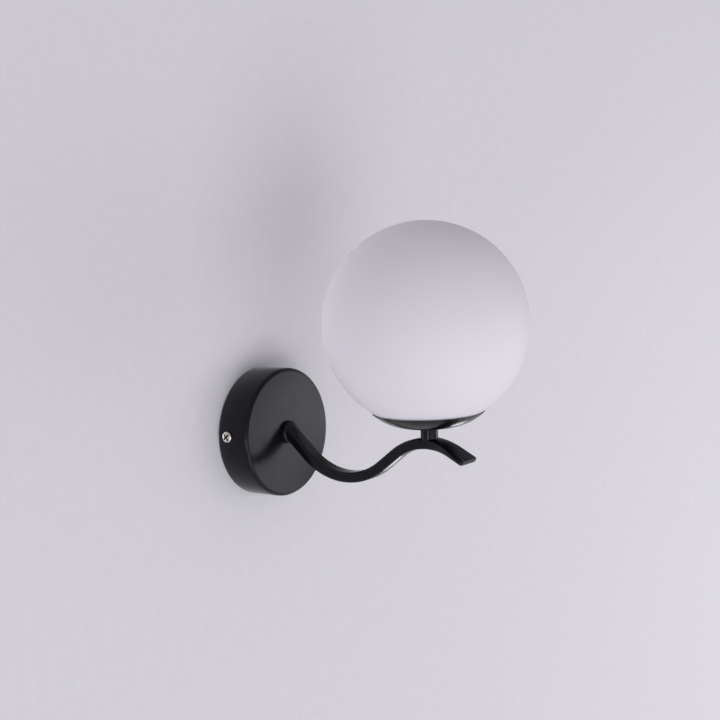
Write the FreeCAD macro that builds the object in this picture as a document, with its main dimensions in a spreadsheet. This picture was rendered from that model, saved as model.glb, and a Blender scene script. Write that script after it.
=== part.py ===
import FreeCAD, Part

import math
import os
import re

import Sketcher

# A globe wall light.  The wall is the plane Y = 0 and the light stands out along -Y, with +Z up
# and the origin at the middle of the wall plate.  A drawn round canopy covers a steel wall bracket;
# a flattened steel tube runs out of it, dips, rises to a crest under the globe and ends in a pinched
# tip.  On the crest stands a short post with a dish, the lampholder and the spring that holds an
# opal glass globe by the edge of its opening.

doc = FreeCAD.newDocument("globe_wall_light")

# ---------------------------------------------------------------- driving sizes, in millimetres
SIZES = {
    # clearances
    "free_gap": 0.3,             # between pieces that only lie against each other
    "thread_gap": 0.02,          # between a screw thread and its tapped hole
    # opal glass globe
    "globe_radius": 75.0,
    "glass_wall": 3.0,
    "opening_radius": 28.0,
    "globe_sink": 1.1,           # how far the whole sphere would reach below the dish floor
    "projection": 160.0,         # wall to the globe's axis
    # canopy and wall bracket
    "canopy_radius": 50.0,
    "canopy_depth": 27.5,
    "canopy_wall": 1.0,
    "canopy_edge": 2.8,          # rounding of the front edge
    "strip_width": 18.0,
    "strip_thickness": 1.5,
    "ear_gap": 1.4,              # canopy wall to the bracket's ear
    "ear_length": 15.0,
    "slot_spacing": 55.0,
    "slot_length": 14.0,
    "slot_width": 4.5,
    "cable_hole_radius": 6.0,
    "tab_width": 30.0,
    "tab_drop": 37.0,            # lower edge of the tab that carries the terminal block
    # machine screws
    "m4_radius": 2.0,
    "m4_head_radius": 4.2,
    "m4_head_height": 2.6,
    "side_screw_depth": 9.2,     # side screws to the wall
    "side_screw_rise": 2.7,      # and above the canopy's middle
    "side_screw_length": 7.0,
    "m3_radius": 1.5,
    "m3_head_radius": 2.7,
    "m3_head_height": 1.8,
    "pole_screw_length": 0.9,
    "cross_width": 0.9,          # arms of the cross recess
    "cross_depth": 1.2,
    "cross_share": 0.5,          # reach of the cross as a share of the head's radius
    "crown_share": 0.6,          # flat top of the head, likewise
    # terminal block
    "block_height": 16.0,
    "block_depth": 12.0,
    "block_pitch": 8.0,
    "block_top": -18.0,
    "pole_radius": 2.2,
    "pole_bore": 1.4,
    # earth connection
    "earth_x": -13.2,
    "earth_screw_length": 3.0,
    "washer_thickness": 0.8,
    "lug_radius": 4.2,
    "lug_thickness": 0.8,
    "lug_length": 9.0,
    "lug_neck": 3.4,             # where the neck leaves the ring
    "barrel_length": 4.5,
    # arm
    "collar_radius": 8.9,
    "collar_edge": 0.8,
    "collar_length": 4.0,
    "arm_width": 12.7,
    "arm_height": 8.0,
    "arm_corner": 2.0,
    "tube_wall": 1.0,
    "tip_width": 21.6,
    "tip_height": 3.6,
    "arm_start_drop": 0.5,       # arm start below the canopy's axis
    "first_run": 22.6,
    "drop_angle": 42.4,
    "low_bend_radius": 55.0,
    "rise_angle": 37.3,
    "crest_bend_radius": 46.0,
    "fall_angle": 27.5,
    "last_run": 13.8,
    "round_run": 16.0,           # length over which the round start turns into the flattened tube
    "start_width": 12.2,         # diameter of the tube before it is flattened
    "tip_corner": 2.2,
    "pinch_length": 9.0,         # solid end of the tip
    # threaded tubes with their nuts
    "nipple_radius": 5.0,
    "nipple_bore": 4.0,
    "nut_flats": 14.0,
    "nut_thickness": 2.8,
    "tooth_ring_radius": 8.0,
    "tooth_ring_thickness": 0.7,
    "tooth_set": 1.2,            # centres of the notches inside the rim
    "notch_radius": 0.5,
    "nipple_stub": 1.0,          # threaded tube past its nut
    "bush_lip": 1.0,
    "bush_wall": 0.8,
    # post and dish
    "post_radius": 6.4,
    "post_height": 8.0,
    "dish_wall": 0.8,
    "dish_floor_radius": 13.0,
    "dish_rim_radius": 39.7,     # inside of the rim
    "seal_inner": 28.4,
    "seal_outer": 33.0,
    "spring_thickness": 0.8,
    "spring_ring_radius": 11.0,
    "spring_overlap": 1.0,       # legs into the ring
    "heel_set": 0.5,             # where the legs leave the dish's flat floor
    "tongue_width": 9.0,
    "tongue_height": 20.0,
    "knee_rise": 4.6,            # spring leg's bend under the globe's edge
    "kink_rise": 12.5,           # widest place of the tongue
    "kink_set": 1.4,             # how far the tongue swells outward
    "tongue_tuck": 5.0,          # how far its free end leans back in
    # lampholder for an E27 lamp
    "holder_radius": 19.0,
    "holder_base_height": 18.0,
    "nipple_reach": 8.0,         # threaded tube and collar inside the lampholder's base
    "holder_collar_radius": 8.0,
    "flange_thickness": 2.0,
    "lip_radius": 15.0,
    "lip_thickness": 2.5,
    "holder_terminal": 5.0,      # side of a square terminal
    "terminal_offset": 5.5,
    "contact_rise": 3.0,
    "contact_thickness": 0.5,
    "contact_width": 5.0,
    "rivet_radius": 1.2,
    "rivet_head": 0.6,
    "rivet_head_radius": 2.0,
    "rivet_crown_radius": 1.4,
    "rivet_land": 2.4,           # strip left round a rivet's centre
    "holder_wall": 2.0,
    "holder_shoulder": 6.0,      # rounding between the base's end and its side
    "core_thickness": 7.0,
    "skirt_height": 32.0,
    "shell_inner": 13.5,
    "shell_wall": 0.4,
    "core_tube_wall": 2.0,
    # lamp
    "cap_radius": 13.1,
    "cap_height": 19.5,
    "cap_wall": 0.3,
    "tip_radius": 5.0,
    "tip_thickness": 1.5,
    "insulator_height": 3.0,
    "insulator_flare": 1.0,      # glass past the tip's edge
    "lamp_radius": 22.5,
    "lamp_neck_height": 18.0,
    "lamp_wall": 1.2,
    "lamp_dome_rise": 8.0,
    "led_board_thickness": 1.6,
    "led_ring_radius": 12.0,
    "led_size": 3.0,
    "led_thickness": 0.8,
    "driver_height": 26.0,
    "driver_thickness": 1.2,
    "capacitor_radius": 3.0,
    "capacitor_length": 10.0,
    # wires
    "wire_radius": 1.1,
    "wire_spacing": 2.8,         # centre to centre inside the arm
    "wire_bend": 4.6,
    "holder_bend": 2.5,
    "crest_lead": 8.0,           # slope, in degrees, at which the wires leave the crest bend
}

# Sizes that follow from the driving ones.
FITS = {
    "canopy_inside": "canopy_radius - canopy_wall",
    "face_inside": "canopy_depth - canopy_wall",
    "ear_face": "canopy_inside - ear_gap",
    "ear_inner_face": "ear_face - strip_thickness",
    "arm_start": "canopy_depth + collar_length",
    "reach_to_rise": "first_run * cos(drop_angle) + low_bend_radius"
                     " * (sin(drop_angle) + sin(rise_angle))",
    "middle_run": "(projection - arm_start - reach_to_rise"
                  " - crest_bend_radius * sin(rise_angle)) / cos(rise_angle)",
    "low_height": "-arm_start_drop - first_run * sin(drop_angle)"
                  " + low_bend_radius * (cos(drop_angle) - cos(rise_angle))",
    "crest_height": "low_height + middle_run * sin(rise_angle)"
                    " + crest_bend_radius * (1 - cos(rise_angle))",
    "arm_top": "crest_height + arm_height / 2",
    "dish_under": "arm_top + post_height",
    "dish_floor": "dish_under + dish_wall",
    "globe_centre": "dish_floor + globe_radius - globe_sink",
    "clear_radius": "globe_radius + free_gap",
    "rim_height": "globe_centre - sqrt(clear_radius^2 - dish_rim_radius^2)",
    "dish_rise": "rim_height - dish_floor",
    "dish_run": "dish_rim_radius - dish_floor_radius",
    "dish_curve": "(dish_run^2 + dish_rise^2) / (2 * dish_rise)",
    "dish_curve_outer": "dish_curve + dish_wall",
    "dish_curve_centre": "dish_floor + dish_curve",
    "rim_outer": "dish_floor_radius + sqrt(dish_curve_outer^2 - (dish_curve - dish_rise)^2)",
    "seal_curve": "dish_curve - thread_gap",
    "seal_bottom_in": "dish_curve_centre - sqrt(seal_curve^2 - (seal_inner - dish_floor_radius)^2)",
    "seal_bottom_out": "dish_curve_centre - sqrt(seal_curve^2 - (seal_outer - dish_floor_radius)^2)",
    "seal_top_in": "globe_centre - sqrt(clear_radius^2 - seal_inner^2)",
    "seal_top_out": "globe_centre - sqrt(clear_radius^2 - seal_outer^2)",
    "tongue_outer": "opening_radius - free_gap",
    "spring_top": "dish_floor + spring_thickness",
    "nut_seat": "spring_top + tooth_ring_thickness",
    "nut_top": "nut_seat + nut_thickness",
    "holder_base": "nut_top + free_gap",
    "nipple_top": "holder_base + nipple_reach",
    "core_bottom": "holder_base + holder_base_height",
    "core_top": "core_bottom + core_thickness",
    "skirt_top": "core_bottom + skirt_height",
    "skirt_inner": "holder_radius - holder_wall",
    "shell_outer": "shell_inner + shell_wall",
    "core_tube_inner": "shell_outer + free_gap",
    "core_tube_outer": "core_tube_inner + core_tube_wall",
    "contact_top": "core_top + contact_rise",
    "lamp_tip": "contact_top + free_gap",
    "insulator_bottom": "lamp_tip + tip_thickness",
    "cap_bottom": "insulator_bottom + insulator_height",
    "cap_top": "cap_bottom + cap_height",
    "housing_top": "cap_top + lamp_neck_height",
    "dome_belt": "housing_top + lamp_dome_rise",
    "board_bottom": "housing_top + free_gap",
    "board_top": "board_bottom + led_board_thickness",
    "block_width": "3 * block_pitch",
    "block_front": "strip_thickness + block_depth",
    "pole_depth": "strip_thickness + block_depth / 2",
    "block_middle": "block_top - block_height / 2",
    "pole_screw_seat": "pole_depth + pole_bore + pole_screw_length + thread_gap",
    "block_screw_length": "block_depth + strip_thickness",
    "arm_nut_face": "face_inside - tooth_ring_thickness",
    "arm_nut_end": "arm_nut_face - nut_thickness",
    "arm_nipple_end": "arm_nut_end - nipple_stub",
}


def plain(text):
    """An expression as the sheet reads it, with each size's own sheet named."""
    def named(word):
        name = word.group(0)
        if name in SIZES:
            return "Sizes." + name
        if name in FITS:
            return "Fits." + name
        return name
    return re.sub(r"[a-z][a-z0-9_]*", named, text)


def angles_in_degrees(text):
    """The same expression with degrees given to sin and cos."""
    return re.sub(r"(sin|cos)\((\w+)\)", r"\1(\2 * 1deg)", text)


def fill_sheets():
    sizes = doc.addObject("Spreadsheet::Sheet", "Sizes")
    for row, (name, value) in enumerate(SIZES.items(), 1):
        sizes.set(f"A{row}", name)
        sizes.set(f"B{row}", str(value))
        sizes.setAlias(f"B{row}", name)
    fits = doc.addObject("Spreadsheet::Sheet", "Fits")
    doc.recompute()
    for row, (name, text) in enumerate(FITS.items(), 1):
        fits.set(f"A{row}", name)
        fits.set(f"B{row}", "=" + plain(angles_in_degrees(text)).replace("Fits.", ""))
        fits.setAlias(f"B{row}", name)
        doc.recompute()
    return sizes


sheet = fill_sheets()


def size(text):
    """The value of an expression in the sheet's sizes."""
    value = sheet.evalExpression(plain(text))
    return float(getattr(value, "Value", value))


def bind(item, path, text):
    item.setExpression(path, plain(text))


# ---------------------------------------------------------------- ways of making a piece
def origin_item(body, role):
    return next(item for item in body.Origin.OriginFeatures if item.Role == role)


def new_body(label):
    body = doc.addObject("PartDesign::Body", label)
    body.Label = label
    return body


def new_sketch(body, role, name):
    sketch = body.newObject("Sketcher::SketchObject", f"{body.Name}_{name}")
    sketch.AttachmentSupport = (origin_item(body, role), [""])
    sketch.MapMode = "FlatFace"
    return sketch


def fix_point(sketch, edge, end, across, up):
    """Hold one end of an edge at a place given by two expressions."""
    for kind, text in (("DistanceX", across), ("DistanceY", up)):
        place = size(text)
        index = sketch.addConstraint(Sketcher.Constraint(kind, -1, 1, edge, end, place))
        bind(sketch, f"Constraints[{index}]", text)


def arc_between(start, end, radius):
    """The short arc from start to end; a positive radius turns left."""
    chord = end - start
    middle = (start + end) / 2
    left = FreeCAD.Vector(-chord.y, chord.x, 0).normalize()
    offset = math.sqrt(max(radius * radius - chord.Length ** 2 / 4, 0))
    centre = middle + left * math.copysign(offset, radius)
    first, last = (start, end) if radius > 0 else (end, start)
    angles = [math.atan2(point.y - centre.y, point.x - centre.x) for point in (first, last)]
    circle = Part.Circle(centre, FreeCAD.Vector(0, 0, 1), abs(radius))
    return Part.ArcOfCircle(circle, angles[0], angles[1])


def draw_outline(sketch, outline):
    """Draw a closed outline: (across, up) corners, each with the signed radius of an arc to it."""
    corners = [FreeCAD.Vector(size(item[0]), size(item[1]), 0) for item in outline]
    ends = []
    for number, item in enumerate(outline):
        start = corners[number - 1]
        end = corners[number]
        if len(item) == 3:
            sign = -1 if item[2].startswith("-") else 1
            curve = arc_between(start, end, sign * size(item[2].lstrip("-")))
            edge = sketch.addGeometry(curve, False)
            ends.append((edge, 1, 2) if sign > 0 else (edge, 2, 1))
            index = sketch.addConstraint(Sketcher.Constraint("Radius", edge, curve.Radius))
            bind(sketch, f"Constraints[{index}]", item[2].lstrip("-"))
        else:
            edge = sketch.addGeometry(Part.LineSegment(start, end), False)
            ends.append((edge, 1, 2))
    for number, item in enumerate(outline):
        edge, _, finish = ends[number]
        following, begin, _ = ends[(number + 1) % len(ends)]
        sketch.addConstraint(Sketcher.Constraint("Coincident", edge, finish, following, begin))
        fix_point(sketch, edge, finish, item[0], item[1])


def draw_circle(sketch, across, up, radius):
    centre = FreeCAD.Vector(size(across), size(up), 0)
    circle = Part.Circle(centre, FreeCAD.Vector(0, 0, 1), size(radius))
    edge = sketch.addGeometry(circle, False)
    fix_point(sketch, edge, 3, across, up)
    index = sketch.addConstraint(Sketcher.Constraint("Radius", edge, size(radius)))
    bind(sketch, f"Constraints[{index}]", radius)


def turned(label, axis, outline):
    """A body turned round the Y or Z axis from an outline of (radius, height) corners."""
    body = new_body(label)
    sketch = new_sketch(body, "XY_Plane" if axis == "Y" else "XZ_Plane", "outline")
    draw_outline(sketch, outline)
    turn = body.newObject("PartDesign::Revolution", label + "_turn")
    turn.Profile = sketch
    turn.ReferenceAxis = (sketch, ["V_Axis"])
    turn.Angle = 360
    return body


def padded(label, role, outline, length, holes=(), both_ways=False):
    """A body padded from an outline, or from a circle, with round holes in it."""
    body = new_body(label)
    sketch = new_sketch(body, role, "outline")
    if len(outline) > 1:
        draw_outline(sketch, outline)
    else:
        draw_circle(sketch, *outline[0])
    for hole in holes:
        draw_circle(sketch, *hole)
    pad = body.newObject("PartDesign::Pad", label + "_pad")
    pad.Profile = sketch
    bind(pad, "Length", length)
    pad.Midplane = both_ways
    return body


def cut_through(body, name, role, outlines=(), circles=(), depth=None, lift=None):
    """Pocket outlines and circles into a body: to a depth, or right through both ways."""
    doc.recompute()
    before = body.Shape.Volume
    sketch = new_sketch(body, role, name)
    for outline in outlines:
        draw_outline(sketch, outline)
    for circle in circles:
        draw_circle(sketch, *circle)
    if lift:
        bind(sketch, "AttachmentOffset.Base.z", lift)
    pocket = body.newObject("PartDesign::Pocket", f"{body.Name}_{name}_cut")
    pocket.Profile = sketch
    if depth:
        bind(pocket, "Length", depth)
    else:
        pocket.Type = "ThroughAll"
        pocket.Midplane = True
    doc.recompute()
    if body.Shape.Volume >= before:
        raise RuntimeError(f"{name} cut nothing from {body.Label}")


def place(item, across="0", out="0", up="0", axis=(0, 0, 1), angle=0):
    """Set a piece on its seat: X, distance out of the wall, and height, after a turn."""
    turn = FreeCAD.Rotation(FreeCAD.Vector(*axis), angle)
    item.Placement = FreeCAD.Placement(FreeCAD.Vector(), turn)
    bind(item, "Placement.Base.x", across)
    bind(item, "Placement.Base.y", f"-({out})")
    bind(item, "Placement.Base.z", up)
    return item


def on_globe_axis(item):
    return place(item, out="projection")


def group(label, members):
    """Loose pieces that are alike, kept as one node."""
    bundle = doc.addObject("Part::Compound", label)
    bundle.Links = members
    bundle.Label = label
    return bundle


def cut_away(label, base, tool):
    """What is left of a piece after another is cut away from it."""
    result = doc.addObject("Part::Cut", label)
    result.Label = label
    result.Base = base
    result.Tool = tool
    return result


def hex_corners(flats):
    """The six corners of a hexagon, flats upright, from its size across flats."""
    half = f"{flats} / 2"
    point = f"{flats} / sqrt(3)"
    side = f"{flats} / sqrt(12)"
    return [(half, side), ("0", point), (f"-{half}", side),
            (f"-{half}", f"-{side}"), ("0", f"-{point}"), (half, f"-{side}")]


def nut(label):
    bore = [("0", "0", "nipple_radius + thread_gap")]
    return padded(label, "XY_Plane", hex_corners("nut_flats"), "nut_thickness", holes=bore)


TEETH = 12


def tooth_ring(label):
    """A locking washer with its teeth cut round the rim."""
    outline = [("0", "0", "tooth_ring_radius")]
    bore = [("0", "0", "nipple_radius + thread_gap")]
    body = padded(label, "XY_Plane", outline, "tooth_ring_thickness", holes=bore)
    notch = [("tooth_ring_radius - tooth_set", "0", "notch_radius")]
    cut_through(body, "notch", "XY_Plane", circles=notch)
    notches = body.newObject("PartDesign::PolarPattern", label + "_notches")
    notches.Originals = [body.Tip]
    notches.Axis = (origin_item(body, "Z_Axis"), [""])
    notches.Angle = 360
    notches.Occurrences = TEETH
    body.Tip = notches
    return body


def pan_screw(label, thread, shank):
    """A pan-head screw standing on Z = 0 with its shank down, and a cross recess in the head."""
    radius = f"{thread}_radius"
    head = f"{thread}_head_radius"
    top = f"{thread}_head_height"
    body = turned(label, "Z", [
        ("0", f"-{shank}"), (radius, f"-{shank}"), (radius, "0"), (head, "0"),
        (head, f"{top} / 2"), (f"{head} * crown_share", top), ("0", top)])
    wing = "cross_width / 2"
    reach = f"{head} * cross_share"
    cross = [(wing, wing), (wing, reach), (f"-{wing}", reach), (f"-{wing}", wing),
             (f"-{reach}", wing), (f"-{reach}", f"-{wing}"), (f"-{wing}", f"-{wing}"),
             (f"-{wing}", f"-{reach}"), (wing, f"-{reach}"), (wing, f"-{wing}"),
             (reach, f"-{wing}"), (reach, wing)]
    cut_through(body, "cross", "XY_Plane", outlines=[cross], depth="cross_depth", lift=top)
    return body


# ---------------------------------------------------------------- at the wall
def wall_bracket():
    """Steel strip on the wall, with ears for the side screws and a tab for the terminal block."""
    body = padded("wall_bracket", "XY_Plane", [
        ("ear_face", "0"), ("ear_face", "-ear_length"), ("ear_inner_face", "-ear_length"),
        ("ear_inner_face", "-strip_thickness"), ("-ear_inner_face", "-strip_thickness"),
        ("-ear_inner_face", "-ear_length"), ("-ear_face", "-ear_length"), ("-ear_face", "0")],
        "strip_width", both_ways=True)
    sketch = new_sketch(body, "XZ_Plane", "tab")
    half = "tab_width / 2"
    draw_outline(sketch, [(half, "-tab_drop"), (half, "0"), (f"-{half}", "0"),
                          (f"-{half}", "-tab_drop")])
    tab = body.newObject("PartDesign::Pad", "wall_bracket_tab_pad")
    tab.Profile = sketch
    bind(tab, "Length", "strip_thickness")
    near = "slot_spacing / 2 - (slot_length - slot_width) / 2"
    far = "slot_spacing / 2 + (slot_length - slot_width) / 2"
    edge = "slot_width / 2"
    slots = []
    ends = []
    for side in ("", "-"):
        slots.append([(f"{side}({near})", f"-{edge}"), (f"{side}({far})", f"-{edge}"),
                      (f"{side}({far})", edge), (f"{side}({near})", edge)])
        ends.append((f"{side}({near})", "0", edge))
        ends.append((f"{side}({far})", "0", edge))
    cut_through(body, "slots", "XZ_Plane", outlines=slots)
    cut_through(body, "slot_ends", "XZ_Plane", circles=ends)
    cut_through(body, "holes", "XZ_Plane", circles=[
        ("0", "0", "cable_hole_radius"),
        ("earth_x", "0", "m4_radius + thread_gap"),
        ("block_pitch / 2", "block_middle", "m3_radius + thread_gap")])
    cut_through(body, "ear_holes", "YZ_Plane",
                circles=[("-side_screw_depth", "side_screw_rise", "m4_radius + thread_gap")])
    return body


def canopy():
    """Drawn steel cup with a rounded front edge, a hole for the arm and two for side screws."""
    inner_edge = "canopy_edge - canopy_wall"
    body = turned("canopy", "Y", [
        ("canopy_radius", "0"),
        ("canopy_radius", "-(canopy_depth - canopy_edge)"),
        ("canopy_radius - canopy_edge", "-canopy_depth", "-canopy_edge"),
        ("nipple_radius + free_gap", "-canopy_depth"),
        ("nipple_radius + free_gap", "-face_inside"),
        (f"canopy_inside - ({inner_edge})", "-face_inside"),
        ("canopy_inside", f"-(face_inside - ({inner_edge}))", f"({inner_edge})"),
        ("canopy_inside", "0")])
    cut_through(body, "screw_holes", "YZ_Plane",
                circles=[("-side_screw_depth", "side_screw_rise", "m4_radius + free_gap")])
    return body


def side_screws():
    """The two nickel screws that hold the canopy to the bracket's ears."""
    screws = []
    for name, side, angle in (("side_screw_right", "", 90), ("side_screw_left", "-", -90)):
        screw = pan_screw(name, "m4", "side_screw_length")
        screws.append(place(screw, f"{side}(canopy_radius + thread_gap)", "side_screw_depth",
                            "side_screw_rise", axis=(0, 1, 0), angle=angle))
    return group("canopy_screws", screws)


def terminal_block():
    """Three-pole block on the bracket's tab, with wire passages and sunk screws."""
    half = "block_width / 2"
    foot = "block_top - block_height"
    body = padded("terminal_block", "XZ_Plane", [
        (half, foot), (half, "block_top"), (f"-{half}", "block_top"), (f"-{half}", foot)],
        "block_depth")
    poles = [(f"block_pitch * {pole}", "-block_depth / 2", "pole_radius + thread_gap")
             for pole in (-1, 0, 1)]
    cut_through(body, "passages", "XY_Plane", circles=poles)
    wells = [(f"block_pitch * {pole}", f"block_middle {row} block_height / 4",
              "m3_head_radius + thread_gap") for pole in (-1, 0, 1) for row in ("+", "-")]
    depth = "block_front - pole_depth"
    cut_through(body, "screw_wells", "XZ_Plane", circles=wells, depth=depth, lift="block_depth")
    cut_through(body, "fixing_hole", "XZ_Plane",
                circles=[("block_pitch / 2", "block_middle", "m3_radius + free_gap")])
    return place(body, out="strip_thickness")


def terminal_inserts():
    """Brass tubes in the block, each with two tapped holes."""
    tubes = []
    for pole in (-1, 0, 1):
        tube = padded(f"pole_{pole + 2}", "XY_Plane", [("0", "0", "pole_radius")],
                      "block_height", holes=[("0", "0", "pole_bore")])
        taps = [("0", f"block_height / 2 {row} block_height / 4", "m3_radius + thread_gap")
                for row in ("+", "-")]
        cut_through(tube, "taps", "XZ_Plane", circles=taps, depth="pole_radius",
                    lift="pole_radius")
        tubes.append(place(tube, f"block_pitch * {pole}", "pole_depth",
                           "block_top - block_height"))
    return group("terminal_inserts", tubes)


def terminal_screws():
    screws = []
    for pole in (-1, 0, 1):
        for number, row in enumerate(("+", "-")):
            screw = pan_screw(f"pole_screw_{pole + 2}_{number}", "m3", "pole_screw_length")
            screws.append(place(screw, f"block_pitch * {pole}", "pole_screw_seat",
                                f"block_middle {row} block_height / 4",
                                axis=(1, 0, 0), angle=90))
    return group("terminal_screws", screws)


def block_screw():
    screw = pan_screw("terminal_block_screw", "m3", "block_screw_length")
    return place(screw, "block_pitch / 2", "block_front", "block_middle",
                 axis=(1, 0, 0), angle=90)


def earth_lug():
    """Tinned ring lug under the earth screw, with the barrel that grips its wire."""
    body = padded("earth_lug", "XZ_Plane", [("0", "0", "lug_radius")], "lug_thickness",
                  holes=[("0", "0", "m4_radius + thread_gap")])
    neck = new_sketch(body, "XZ_Plane", "neck")
    half = "wire_radius + lug_thickness"
    draw_outline(neck, [(half, "-lug_length"), (half, "-lug_neck"),
                        (f"-({half})", "-lug_neck"), (f"-({half})", "-lug_length")])
    pad = body.newObject("PartDesign::Pad", "earth_lug_neck_pad")
    pad.Profile = neck
    bind(pad, "Length", "lug_thickness")
    barrel = new_sketch(body, "XY_Plane", "barrel")
    bind(barrel, "AttachmentOffset.Base.z", "-lug_length")
    draw_circle(barrel, "0", f"-({half})", half)
    sleeve = body.newObject("PartDesign::Pad", "earth_lug_barrel_pad")
    sleeve.Profile = barrel
    bind(sleeve, "Length", "barrel_length")
    cut_through(body, "barrel_bore", "XY_Plane",
                circles=[("0", f"-({half})", "wire_radius + thread_gap")])
    return place(body, "earth_x", "strip_thickness")


def earth_washer():
    washer = padded("earth_washer", "XZ_Plane", [("0", "0", "lug_radius")],
                    "washer_thickness", holes=[("0", "0", "m4_radius + thread_gap")])
    return place(washer, "earth_x", "strip_thickness + lug_thickness")


def earth_screw():
    screw = pan_screw("earth_screw", "m4", "earth_screw_length")
    return place(screw, "earth_x", "strip_thickness + lug_thickness + washer_thickness",
                 axis=(1, 0, 0), angle=90)


# ---------------------------------------------------------------- arm
def arm_collar():
    """Turned collar on the canopy's face, tapped from behind for the threaded tube."""
    step = "arm_start - collar_edge"
    return turned("arm_collar", "Y", [
        ("nipple_radius + thread_gap", "-canopy_depth"),
        ("collar_radius", "-canopy_depth"),
        ("collar_radius", f"-({step})"),
        ("collar_radius - collar_edge", "-arm_start", "-collar_edge"),
        ("nipple_bore", "-arm_start"),
        ("nipple_bore", f"-({step})"),
        ("nipple_radius + thread_gap", f"-({step})")])


def arm_nipple():
    """Threaded tube from the collar through the canopy's face."""
    tube = padded("arm_nipple", "XZ_Plane", [("0", "0", "nipple_radius")],
                  "arm_start - collar_edge - arm_nipple_end", holes=[("0", "0", "nipple_bore")])
    return place(tube, out="arm_nipple_end")


def rounded_path(points, radii):
    """Straight runs between points, joined by tangent arcs of the given radii."""
    edges = []
    start = points[0]
    for number, radius in enumerate(radii, 1):
        corner = points[number]
        before = (corner - points[number - 1]).normalize()
        after = (points[number + 1] - corner).normalize()
        turn = before.getAngle(after)
        reach = radius * math.tan(turn / 2)
        first = corner - before * reach
        last = corner + after * reach
        inward = (after - before).normalize()
        centre = corner + inward * (radius / math.cos(turn / 2))
        edges.append(Part.LineSegment(start, first).toShape())
        edges.append(Part.Arc(first, centre - inward * radius, last).toShape())
        start = last
    edges.append(Part.LineSegment(start, points[-1]).toShape())
    return Part.Wire(edges)


def arm_corners():
    """Where the arm's straight runs meet: its start, the low bend, the crest bend and the tip."""
    drop = math.radians(size("drop_angle"))
    rise = math.radians(size("rise_angle"))
    fall = math.radians(size("fall_angle"))
    low_reach = size("low_bend_radius") * math.tan((drop + rise) / 2)
    crest_reach = size("crest_bend_radius") * math.tan((rise + fall) / 2)
    runs = [(size("first_run") + low_reach, -drop),
            (low_reach + size("middle_run") + crest_reach, rise),
            (crest_reach + size("last_run"), -fall)]
    points = [FreeCAD.Vector(0, -size("arm_start"), -size("arm_start_drop"))]
    for length, slope in runs:
        step = FreeCAD.Vector(0, -math.cos(slope), math.sin(slope)) * length
        points.append(points[-1] + step)
    return points


def section(width, height, corner):
    """Rounded rectangle in the XY plane, its width along X."""
    corners = []
    for quarter, (side_x, side_y) in enumerate(((1, 1), (-1, 1), (-1, -1), (1, -1))):
        centre = FreeCAD.Vector(side_x * (width / 2 - corner), side_y * (height / 2 - corner), 0)
        points = []
        for eighth in range(3):
            angle = math.radians(90 * quarter + 45 * eighth)
            points.append(centre + FreeCAD.Vector(math.cos(angle), math.sin(angle), 0) * corner)
        corners.append(points)
    edges = []
    for quarter, points in enumerate(corners):
        edges.append(Part.Arc(*points).toShape())
        edges.append(Part.LineSegment(points[2], corners[(quarter + 1) % 4][0]).toShape())
    return Part.Wire(edges)


def station(point, slope, profile):
    """A section set square across the arm at a point; slope is in degrees."""
    turn = FreeCAD.Rotation(FreeCAD.Vector(1, 0, 0), 90 - slope)
    wire = profile.copy()
    wire.Placement = FreeCAD.Placement(point, turn)
    return wire


def heading(slope):
    angle = math.radians(slope)
    return FreeCAD.Vector(0, -math.cos(angle), math.sin(angle))


def upward(slope):
    angle = math.radians(slope)
    return FreeCAD.Vector(0, math.sin(angle), math.cos(angle))


LEAST_CORNER = 0.4                   # so that a section keeps its eight edges
CORNER_ROOM = 0.05                   # flat left between two corners


def profile_between(first, last, share, inset):
    """A section part of the way from one (width, height, corner) to another, drawn in all round."""
    width, height, corner = (a + (b - a) * share for a, b in zip(first, last))
    width -= 2 * inset
    height -= 2 * inset
    corner = min(max(corner - inset, LEAST_CORNER), height / 2 - CORNER_ROOM)
    return section(width, height, corner)


def bend(point, slope, radius, angle, profile):
    """Sweep a section round a bend; a positive angle bends upward.  Returns the solid and its end."""
    side = 1 if angle > 0 else -1
    centre = point + upward(slope) * (side * radius)
    face = Part.Face(station(point, slope, profile))
    solid = face.revolve(centre, FreeCAD.Vector(-side, 0, 0), abs(angle))
    end = centre - upward(slope + angle) * (side * radius)
    return solid, end


START_SHARES = (0, 0.2, 0.4, 0.6, 0.8, 1)
TIP_SHARES = (0, 0.15, 0.3, 0.45, 0.6, 0.8, 1)


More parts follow.
